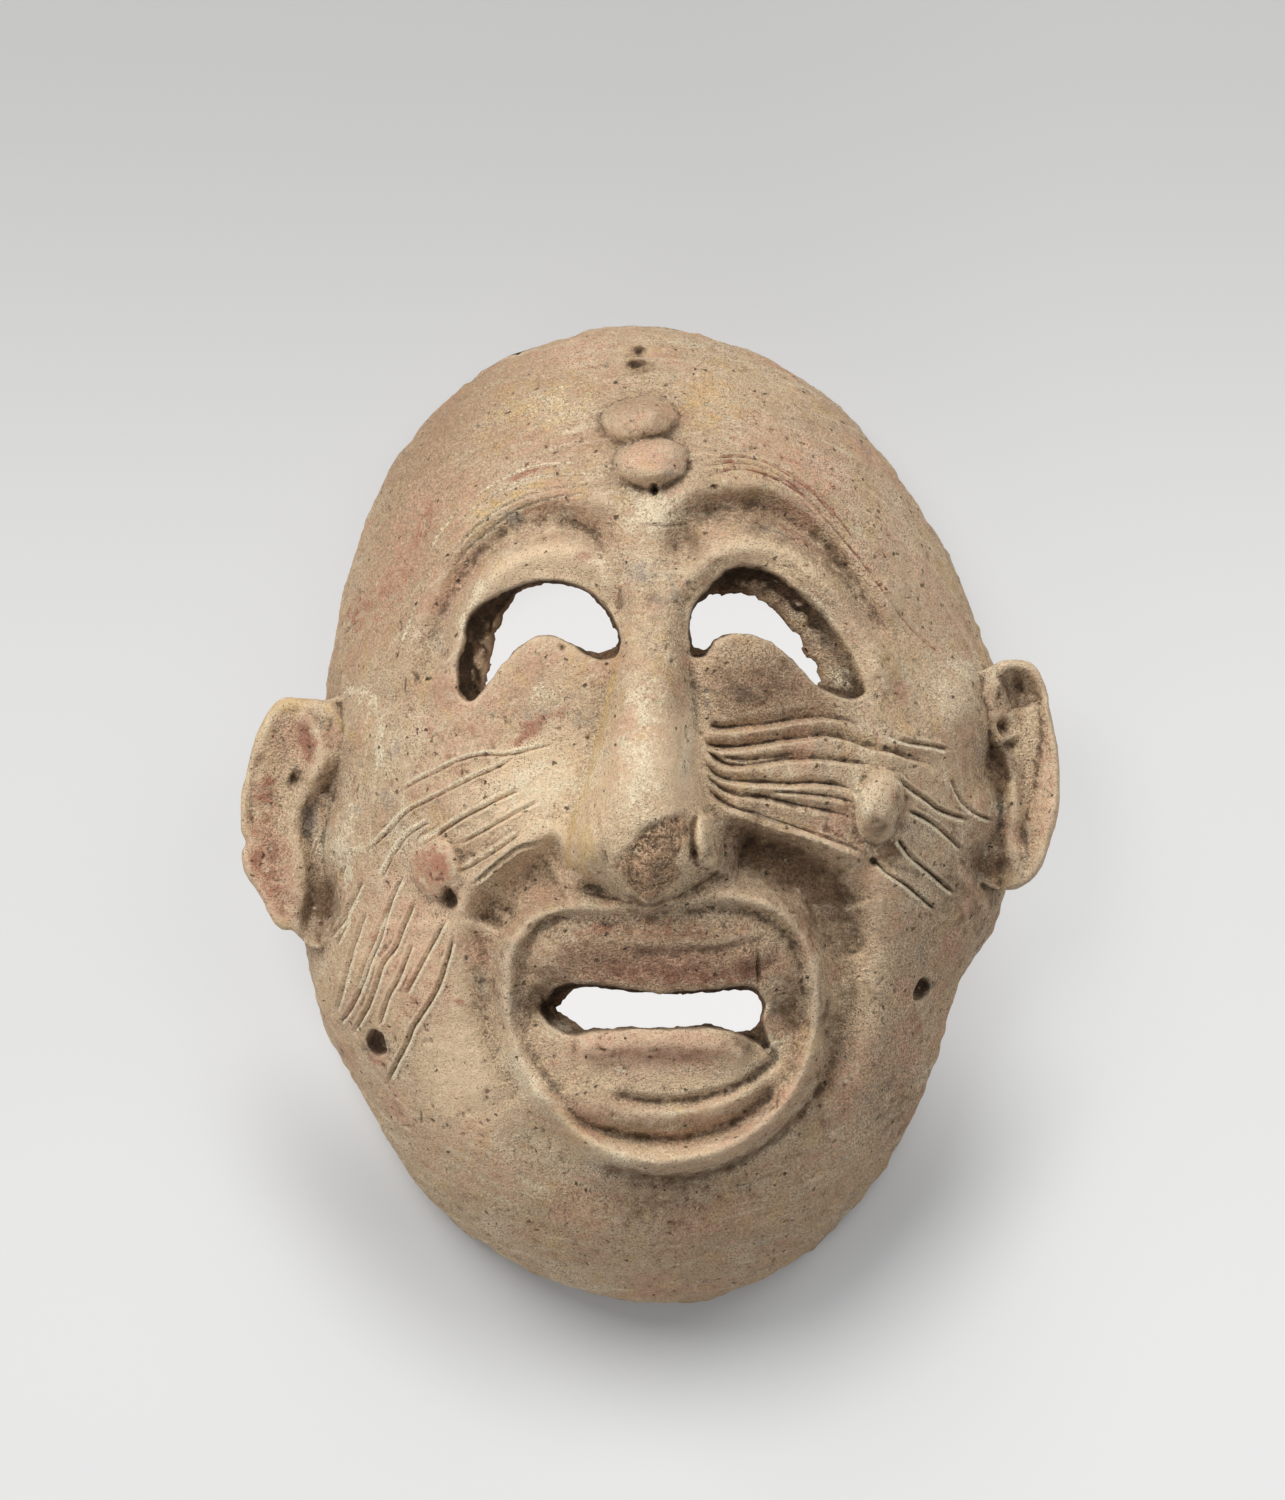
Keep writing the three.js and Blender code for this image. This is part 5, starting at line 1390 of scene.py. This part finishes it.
def paint(o, size):
    """Keeps on the mesh where it is hollow or proud, and where paint, stains, crust, ochre, painted shade and painted
    light lie.
    """
    p = points_of(o) / MM
    n = vertex_normals(o)
    edges = neighbours(o)
    x, y, z = p.T
    front = smooth_step(-0.1, 0.3, n[:, 2])
    near_mean = averaged(p, edges, NEAR_ROUNDS)
    wide_mean = averaged(near_mean, edges, WIDE_ROUNDS)
    tight = np.sum((near_mean - p) * n, axis=1)
    wide = np.sum((wide_mean - p) * n, axis=1)
    gritty = 0.4 + 0.4 * np.clip(wide / 0.7, -1, 1) + 0.4 * stained(x, y, "brown_stain") - 0.2 * washed_lit_and_shaded(x, y)
    gritty += mounds(x, y, [(*spot, GRIT) for spot in GRITTY])
    # Painted shade in the pits, round the cord holes and along the folds and cuts
    pits = mounds(x, y, [(at, radii, min(1.3, 0.5 * depth), turn) for at, radii, depth, turn in PITS])
    holes = mounds(x, y, [(at, (radius, radius), 1.2) for at, radius in CORD_HOLES]) * (z > 10)
    cut_shade = np.maximum(lined(x, y, PAINTED_SHADE_LINES), pits)
    dirt_and_shade = np.clip(1 - mounds(x, y, CLEAN_AND_UNSHADED), 0, 1)
    broken = in_outline(x, y, BROKEN_TIP) + BREAK_FRAY * lattice(p, *BREAK_FRAY_PATTERN) - 0.1
    for name, values in {
        # The crease layer carries painted shade, and the hollow layer dirt and painted shade
        "crease": np.clip(tight / CREASE_FULL, -1, dirt_and_shade),
        "hollow": np.clip(wide / HOLLOW_FULL, -1, dirt_and_shade),
        **{layer: stained(x, y, layer) * front for layer in STAINS},
        "wash": washed_lit_and_shaded(x, y) * front,
        "gritty": gritty,
        "broken": smooth_step(-0.3, 1.0, broken) * front,
        "dark_line": np.maximum(cut_shade * front, holes),
        "pale_line": lined(x, y, PALE_LINES) * front,
        "red_line": lined(x, y, RED_LINES) * front,
        # Where the openings' walls get painted shade with some dirt
        "cut_wall": is_cut(p, n, size),
        "inner_side": in_hollow(p, size, 1.4).astype(float),
    }.items():
        layer = o.data.attributes.new(name, "FLOAT", "POINT")
        layer.data.foreach_set("value", values.astype(np.float32))


# ---- Finish ---------------------------------------------------------------------------------------------------


class Finish:
    """Builds a material's nodes one after another."""

    def __init__(self, name):
        self.material = bpy.data.materials.new(name)
        self.material.use_nodes = True
        self.tree = self.material.node_tree
        self.tree.nodes.clear()

    def add(self, kind, **inputs):
        node = self.tree.nodes.new(kind)
        count = len(self.tree.nodes) - 1
        node.location = (220 * (count % 12), -260 * (count // 12))
        for key, value in inputs.items():
            if key in node.inputs:
                self.put(value, node.inputs[key])
            else:
                setattr(node, key, value)
        return node

    def put(self, value, socket):
        if isinstance(value, bpy.types.NodeSocket):
            self.tree.links.new(value, socket)
        else:
            socket.default_value = value

    def filled(self, kind, *values, **settings):
        """A node whose inputs are filled in their order."""
        node = self.add(kind, **settings)
        for value, socket in zip(values, node.inputs):
            self.put(value, socket)
        return node

    def place(self):
        return self.add("ShaderNodeTexCoord").outputs["Object"]

    def noise(self, vector, scale, detail, roughness):
        node = self.add("ShaderNodeTexNoise", Vector=vector, Scale=scale, Detail=detail, Roughness=roughness)
        return node.outputs["Fac"]

    def between(self, value, low, high, to_low=0.0, to_high=1.0):
        node = self.add("ShaderNodeMapRange", interpolation_type="SMOOTHSTEP")
        named = {"Value": value, "From Min": low, "From Max": high, "To Min": to_low, "To Max": to_high}
        for key, given in named.items():
            self.put(given, node.inputs[key])
        return node.outputs["Result"]

    def maths(self, operation, a, b=0.0, clamp=False):
        return self.filled("ShaderNodeMath", a, b, operation=operation, use_clamp=clamp).outputs[0]

    def scaled(self, value, share):
        return self.maths("MULTIPLY", value, share)

    def total(self, *values):
        out = values[0]
        for value in values[1:]:
            out = self.maths("ADD", out, value)
        return out

    def length(self, a, b):
        return self.maths("SQRT", self.total(self.maths("POWER", a, 2.0), self.maths("POWER", b, 2.0)))

    def blend(self, share, a, b):
        node = self.add("ShaderNodeMix", data_type="RGBA", blend_type="MIX")
        for k, value in zip((0, 6, 7), (share, a, b)):
            self.put(value, node.inputs[k])
        return node.outputs[2]

    def layer(self, name):
        return self.add("ShaderNodeAttribute", attribute_name=name).outputs["Fac"]

    def end(self, **inputs):
        """Ends the material with a shader, and names its inputs with _ for each space."""
        inputs = {key.replace("_", " "): value for key, value in inputs.items()}
        shader = self.add("ShaderNodeBsdfPrincipled", **inputs)
        self.add("ShaderNodeOutputMaterial", Surface=shader.outputs[0])
        return self.material


# How the clay's noises tint it: (noise, its value where the tint begins, where it is whole, most of it, colour)
TINTS = [
    ("patch", 0.5, 0.68, 0.6, "pale"), ("patch", 0.48, 0.32, 0.8, "pink"),
    ("drawn", 0.52, 0.7, 0.65, "pink"), ("drawn", 0.46, 0.32, 0.45, "crust_and_highlight"),
    ("mottle", 0.52, 0.7, 0.7, "brown"), ("mottle", 0.47, 0.32, 0.5, "pale"),
    ("turned", 0.6, 0.7, 0.4, "grey"), ("turned", 0.46, 0.36, 0.35, "ochre"),
]
# Layers on the clay, from the lowest: (layer, where its edge begins, where it is whole, most of it, colour)
LAYERS = [
    ("blush", 0.2, 0.9, 0.65, "blush"),
    ("ochre", 0.3, 0.8, 0.7, "ochre"),
    ("bluish", 0.35, 0.8, 0.65, "grey"),
    ("pale_crust", 0.35, 0.8, 0.8, "crust_and_highlight"),
    ("red_paint", 0.35, 0.85, 0.8, "red"),
    # Brown stains, with painted shade among them
    ("brown_stain", 0.25, 1.05, 0.85, "stain_and_shade"),
    ("pale_line", 0.3, 0.75, 0.8, "crust_and_highlight"),
    ("red_line", 0.5, 1.0, 0.8, "red"),
    # Painted shade in the folds, cuts, pits and cord holes
    ("dark_line", 0.35, 0.95, 0.75, "soot_and_shade"),
]
# Specks in the clay: (channel of the random colour, its value from which specks show, where they are whole, how
# strong they are, colour)
SPECKS = [(0, 0.7, 0.86, 0.8, "soot_and_shade"), (1, 0.76, 0.9, 0.6, "crust_and_highlight"), (2, 0.93, 0.97, 0.55, "red")]
SPECK_SCALE, SPECK_SIZE = 420, (0.1, 0.24)
DRAWN_OUT, DRAWN_ROUND = 620.0, 5.0  # how fine the marks of drawing the clay round are, outwards and round
WOBBLE = 0.0016  # metres by which specks are bent out of round
GRAIN_LOW, GRAIN_HIGH = 0.0006, 0.0016  # height in metres of the grain where the clay is smooth and where it is gritty


def clay_finish(colours):
    f = Finish("fired clay")
    at = f.place()
    broad = f.noise(at, 24, 3, 0.6)
    grain = f.noise(at, 1500, 3, 0.75)
    fine = f.noise(at, 2700, 1, 0.5)
    right, up = f.filled("ShaderNodeSeparateXYZ", at).outputs[:2]
    outwards = f.scaled(f.length(right, up), DRAWN_OUT)
    around = f.scaled(f.maths("ARCTAN2", up, right), DRAWN_ROUND)
    polar = f.filled("ShaderNodeCombineXYZ", outwards, around).outputs[0]
    turned = f.add("ShaderNodeMapping", Vector=at, Scale=(1, 0.6, 1), Rotation=(0, 0, 0.5)).outputs["Vector"]
    noises = {
        "patch": f.noise(at, 75, 3, 0.65),
        "mottle": f.noise(at, 300, 4, 0.7),
        "drawn": f.noise(polar, 1.0, 3, 0.65),
        "turned": f.noise(turned, 130, 3, 0.75),
    }
    patch, mottle = noises["patch"], noises["mottle"]

    def paint_of(name):
        return (*getattr(colours, name), 1.0)

    def over(colour, share, name):
        return f.blend(share, colour, paint_of(name))

    colour = f.blend(f.between(broad, 0.38, 0.62), paint_of("buff"), paint_of("tan"))
    for name, start, whole, most, tint in TINTS:
        colour = over(colour, f.between(noises[name], start, whole, 0, most), tint)
    # Broad washes, with painted light and shade among them, lighten the clay or darken it
    wash = f.layer("wash")
    colour = over(colour, f.between(wash, 0.0, 1.0, 0, 0.85), "cream")
    colour = over(colour, f.between(wash, 0.0, -1.0, 0, 0.7), "dusk")

    # A layer's edge is broken up by the noises, so that it flakes instead of fading.
    uneven = f.total(f.scaled(patch, 1.1), f.scaled(mottle, 1.3), f.scaled(grain, 0.9))
    uneven = f.maths("SUBTRACT", uneven, 1.65)
    for name, start, whole, most, tint in LAYERS:
        layer = f.layer(name)
        amount = f.total(layer, f.scaled(uneven, f.between(layer, 0.0, 0.35)))
        colour = over(colour, f.between(amount, start, whole, 0.0, most), tint)

    # The broad hollows get dirt and painted shade, and the creases painted shade
    crease = f.layer("crease")
    hollow = f.scaled(f.between(f.layer("hollow"), 0.15, 0.95), f.between(uneven, -0.3, 0.3, 0.08, 0.36))
    colour = over(colour, hollow, "stain_and_shade")
    crease_shade = f.scaled(f.between(crease, 0.25, 0.9), f.between(mottle, 0.4, 0.6, 0.2, 0.6))
    colour = over(colour, crease_shade, "soot_and_shade")
    # The proud edges get pale crust and a painted highlight
    proud = f.between(f.scaled(crease, -1.0), 0.2, 1.0, 0, 0.3)
    colour = over(colour, f.scaled(proud, f.between(mottle, 0.35, 0.6, 0.3, 1)), "crust_and_highlight")
    rust = f.blend(f.between(mottle, 0.4, 0.56), paint_of("stain_and_shade"), paint_of("rust"))
    rust = over(rust, f.between(grain, 0.48, 0.64, 0, 0.9), "buff")
    colour = f.blend(f.scaled(f.layer("broken"), 0.9), colour, rust)
    # The openings' walls are painted dark: painted shade with some dirt
    wall = f.blend(f.between(mottle, 0.45, 0.7, 0, 0.7), paint_of("wall"), paint_of("stain_and_shade"))
    colour = f.blend(f.layer("cut_wall"), colour, wall)
    colour = over(colour, f.scaled(f.layer("inner_side"), 0.45), "brown")

    gritty = f.layer("gritty")
    weak = f.scaled(f.between(grain, 0.25, 0.75, 0.9, 1.1), f.between(fine, 0.3, 0.6, 0.9, 1.04))
    strong = f.scaled(f.between(grain, 0.3, 0.7, 0.5, 1.42), f.between(fine, 0.3, 0.6, 0.75, 1.1))
    shade = f.between(gritty, 0.0, 1.0, weak, strong)
    shaded = f.add("ShaderNodeVectorMath", operation="SCALE", Scale=shade)
    f.put(colour, shaded.inputs[0])
    pits = f.between(f.maths("SUBTRACT", fine, f.scaled(patch, 0.35)), 0.2, 0.1, 0, 0.8)
    colour = over(shaded.outputs[0], pits, "stain_and_shade")

    wobble = f.add("ShaderNodeTexNoise", Vector=at, Scale=900.0, Detail=1.0).outputs["Color"]
    bent = f.filled("ShaderNodeVectorMath", wobble, (WOBBLE, WOBBLE, WOBBLE), at, operation="MULTIPLY_ADD").outputs[0]
    dots = f.add("ShaderNodeTexVoronoi", Vector=bent, Scale=SPECK_SCALE)
    dot = f.between(dots.outputs["Distance"], *SPECK_SIZE, 1, 0)
    picks = f.filled("ShaderNodeSeparateColor", dots.outputs["Color"]).outputs
    shown = [f.scaled(dot, f.between(picks[k], start, whole)) for k, start, whole, *_ in SPECKS]
    for speck, (*_, strength, tint) in zip(shown, SPECKS):
        colour = over(colour, f.scaled(speck, strength), tint)

    height = f.total(f.scaled(grain, 0.6), f.scaled(fine, 0.35), f.scaled(mottle, 0.9))
    height = f.maths("SUBTRACT", height, f.scaled(shown[0], 0.7))
    depth = f.between(gritty, 0.0, 1.0, GRAIN_LOW, GRAIN_HIGH)
    normal = f.add("ShaderNodeBump", Height=height, Strength=1.0, Distance=depth).outputs["Normal"]
    rough = f.between(grain, 0.3, 0.7, 0.85, 0.98)
    return f.end(Base_Color=colour, Roughness=rough, Specular_IOR_Level=0.2, Normal=normal)


def floor_finish(stage):
    """A pale floor that mostly glows, so that the mask's shadow is seen only round its chin, with a painted shadow
    along the jaw below the chin and painted light under the mask.
    """
    f = Finish("pale floor")
    across, up = f.filled("ShaderNodeSeparateXYZ", f.place()).outputs[:2]

    def apart(middle, reach):
        """Distance from a point of the floor, in shares of a reach across and up."""
        x, y = (
            f.maths("DIVIDE", f.maths("SUBTRACT", way, middle[k]), reach[k]) for k, way in enumerate((across, up))
        )
        return f.maths("SQRT", f.total(f.scaled(x, x), f.scaled(y, y)))

    # Painted light: the floor glows more under the mask, where it is seen through the openings
    hollow = f.between(apart((0.0, -0.005), (0.1, 0.1)), 0.6, 0.85, 1, 0)
    chin = f.between(apart((0.0, -0.105), (0.12, 0.075)), 0.55, 1.5, 1, 0)
    chin = f.scaled(chin, f.maths("SUBTRACT", 1.0, hollow))
    # Painted shadow: a band along the jaw below the chin where the glow is lowered
    painted_chin_shadow = f.scaled(f.between(apart((0.0, 0.0), (0.098, 0.122)), 1.35, 0.98), f.between(up, -0.05, -0.1))
    from_crown, from_chin = f.between(up, 0.22, 0.0, 0.37, 0.60), f.between(up, 0.02, -0.15, 0, 0.055)
    glow = f.total(from_crown, from_chin, f.between(across, 0.0, 0.12, 0, 0.03))
    glow = f.maths("SUBTRACT", f.scaled(glow, stage.glow), f.scaled(chin, 0.4))
    glow = f.maths("SUBTRACT", glow, f.scaled(painted_chin_shadow, 0.22), clamp=True)
    glow = f.total(glow, f.scaled(hollow, 0.225))
    tone = f.total(f.scaled(chin, 0.44), 0.16)
    grey = f.filled("ShaderNodeCombineColor", *(f.scaled(tone, warm) for warm in (1.0, 1.0, 0.99)))
    return f.end(
        Base_Color=grey.outputs[0], Roughness=0.9, Specular_IOR_Level=0.0, Emission_Color=(1.0, 1.0, 0.995, 1.0),
        Emission_Strength=glow,
    )


# ---- Add-on ---------------------------------------------------------------------------------------------------


def length(name, description, default):
    return FloatProperty(name=name, description=description, default=default, unit="LENGTH")


def colour(name, description, default):
    return FloatVectorProperty(
        name=name, description=description, default=default, subtype="COLOR", size=3, min=0.0, max=1.0
    )


class MaskSizes(bpy.types.PropertyGroup):
    depth: length("Depth", "From the rim's plane to the face's general surface", 0.066)
    wall: length("Wall", "Thickness of the clay", 0.0085)
    incision: FloatProperty(
        name="Incisions", description="Depth of the cut lines against their own", default=1.0, min=0.0, subtype="FACTOR"
    )
    most_faces: IntProperty(
        name="Triangles", description="Most triangles that the mask may have", default=190000, min=1000, max=199999
    )

    def in_millimetres(self):
        """The sizes as the modelling takes them, its lengths to the nearest micrometre."""
        return SimpleNamespace(
            depth=round(self.depth / MM, 3), wall=round(self.wall / MM, 3),
            incision=self.incision, most_faces=self.most_faces,
        )


class ClayColours(bpy.types.PropertyGroup):
    buff: colour("Buff", "General colour of the clay's skin", (0.63, 0.465, 0.30))
    tan: colour("Tan", "Warmer patches", (0.56, 0.395, 0.255))
    pale: colour("Pale", "Worn and dusty places", (0.76, 0.62, 0.44))
    # Cream and dusk also carry the painted light and shade of the broad washes
    cream: colour("Cream", "Lighter washes", (0.83, 0.625, 0.405))
    brown: colour("Brown", "Darker mottling", (0.38, 0.23, 0.13))
    dusk: colour("Dusk", "Darker, redder washes", (0.40, 0.255, 0.155))
    pink: colour("Pink", "Pinkish wash", (0.585, 0.345, 0.225))
    blush: colour("Blush", "Remains of a pink wash", (0.69, 0.40, 0.27))
    # Dirt, also used for painted shade in the hollows, on the openings' walls and among the brown stains
    stain_and_shade: colour("Stain", "Dirt in the hollows", (0.19, 0.11, 0.06))
    # Dark grains, also used for painted shade in the creases and in the bottoms of folds, cuts and pits
    soot_and_shade: colour("Soot", "Dark grains and the bottoms of cuts", (0.06, 0.042, 0.03))
    red: colour("Red", "Remains of red paint", (0.43, 0.19, 0.12))
    rust: colour("Rust", "Broken clay of the nose's tip", (0.60, 0.36, 0.215))
    # Pale earth crust, also used for painted highlight on the proud edges and on the nose's right flank
    crust_and_highlight: colour("Crust", "Pale earth crust", (0.84, 0.72, 0.51))
    ochre: colour("Ochre", "Yellow streaks", (0.64, 0.44, 0.20))
    grey: colour("Grey", "Bluish grey stains", (0.30, 0.27, 0.24))
    # Painted shade with some dirt, for the cut walls of the eyes and mouth
    wall: colour("Wall", "Cut walls of the eyes and mouth", (0.06, 0.038, 0.022))


class StageSettings(bpy.types.PropertyGroup):
    glow: FloatProperty(name="Glow", description="How much the floor glows", default=1.0, min=0.0, subtype="FACTOR")
    camera_height: length("Camera height", "Height of the camera over the floor", 2.0)
    aim: FloatVectorProperty(
        name="Aim", description="Point of the floor under the camera", default=(-0.00184, 0.0159), size=2, unit="LENGTH"
    )
    lens: FloatProperty(name="Lens", description="Focal length of the camera", default=195.9, unit="CAMERA")
    key: FloatProperty(name="Key", description="Strength of the light at the upper left", default=18.0, unit="POWER")
    side: FloatProperty(name="Side", description="Strength of the light at the upper right", default=8.4, unit="POWER")
    low: FloatProperty(name="Low", description="Strength of the light at the lower left", default=4.2, unit="POWER")
    world: FloatProperty(name="World", description="Brightness of the surroundings", default=0.24, min=0.0)


class MASK_OT_clay_mask(bpy.types.Operator):
    """Models the clay mask and gives it its finish"""

    bl_idname = "mask.clay_mask"
    bl_label = "Clay mask"

    def execute(self, context):
        mask = mask_piece(context.scene.mask_sizes.in_millimetres())
        mask.data.materials.clear()
        mask.data.materials.append(clay_finish(context.scene.mask_colours))
        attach(mask, "root")
        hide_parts(NODE)
        return {"FINISHED"}


AIM_HEIGHT = 0.03  # height in metres that the lights aim at
LIGHT_DISTANCE = 1.5
# (name, setting of its strength, diameter, turn and rise, colour)
LIGHTS = [
    ("key light", "key", 0.9, (38, 42), (1.0, 0.99, 0.975)),
    ("side light", "side", 0.9, (315, 35), (1, 1, 1)),
    ("low light", "low", 0.8, (135, 35), (1, 1, 1)),
]
SKY = (0.93, 0.95, 1.0, 1.0)
FLOOR_SIZE, FLOOR_GAP = 8, 0.0001  # metres; the floor lies a hair under the rim


def around(turn, rise):
    """A place round the mask, turned from +Y towards -X and raised from the floor, both in degrees."""
    turn, rise = math.radians(turn), math.radians(rise)
    flat = LIGHT_DISTANCE * math.cos(rise)
    return (-flat * math.sin(turn), flat * math.cos(turn), LIGHT_DISTANCE * math.sin(rise) + AIM_HEIGHT)


def area_light(name, power, size, at, colour):
    """A round light that aims at the mask."""
    bpy.ops.object.select_all(action="DESELECT")
    bpy.ops.object.light_add(type="AREA", location=at)
    light = bpy.context.object
    light.name = name
    light.data.shape = "DISK"
    light.data.size = size
    light.data.energy = power
    light.data.color = colour
    light.rotation_euler = (Vector((0, 0, AIM_HEIGHT)) - Vector(at)).to_track_quat("-Z", "Y").to_euler()


class MASK_OT_stage(bpy.types.Operator):
    """Makes the floor, the lights and the camera"""

    bl_idname = "mask.stage"
    bl_label = "Stage"

    def execute(self, context):
        scene = context.scene
        stage = scene.mask_stage
        bpy.ops.object.select_all(action="DESELECT")
        bpy.ops.mesh.primitive_plane_add(size=FLOOR_SIZE, location=(0, 0, -FLOOR_GAP))
        floor = bpy.context.object
        floor.name = "floor"
        floor.data.materials.append(floor_finish(stage))
        for name, setting, size, place, colour in LIGHTS:
            area_light(name, getattr(stage, setting), size, around(*place), colour)
        world = bpy.data.worlds.new("studio")
        world.use_nodes = True
        back = world.node_tree.nodes["Background"]
        back.inputs["Color"].default_value = SKY
        back.inputs["Strength"].default_value = stage.world
        scene.world = world
        bpy.ops.object.camera_add(location=(*stage.aim, stage.camera_height), rotation=(0, 0, 0))
        camera = bpy.context.object
        camera.name = "camera"
        camera.data.lens = stage.lens
        camera.data.sensor_width = 36
        camera.data.clip_start = 0.05
        camera.data.dof.use_dof = False
        scene.camera = camera
        scene.view_settings.view_transform = "Standard"
        scene.view_settings.look = "None"
        return {"FINISHED"}


class MASK_PT_panel(bpy.types.Panel):
    """Lists the mask's sizes, colours and stage, and makes them"""

    bl_idname = "MASK_PT_panel"
    bl_label = "Terracotta mask"
    bl_space_type = "VIEW_3D"
    bl_region_type = "UI"
    bl_category = "Mask"

    def draw(self, context):
        layout = self.layout
        for group in (context.scene.mask_sizes, context.scene.mask_colours, context.scene.mask_stage):
            box = layout.box()
            for key in group.bl_rna.properties.keys():
                if key not in {"rna_type", "name"}:
                    box.prop(group, key)
        layout.operator(MASK_OT_clay_mask.bl_idname)
        layout.operator(MASK_OT_stage.bl_idname)


CLASSES = (MaskSizes, ClayColours, StageSettings, MASK_OT_clay_mask, MASK_OT_stage, MASK_PT_panel)


def register():
    for cls in CLASSES:
        bpy.utils.register_class(cls)
    bpy.types.Scene.mask_sizes = PointerProperty(type=MaskSizes)
    bpy.types.Scene.mask_colours = PointerProperty(type=ClayColours)
    bpy.types.Scene.mask_stage = PointerProperty(type=StageSettings)


def unregister():
    del bpy.types.Scene.mask_stage
    del bpy.types.Scene.mask_colours
    del bpy.types.Scene.mask_sizes
    for cls in reversed(CLASSES):
        bpy.utils.unregister_class(cls)


def main():
    register()
    bpy.ops.mask.clay_mask()
    bpy.ops.mask.stage()


if __name__ == "__main__":
    main()
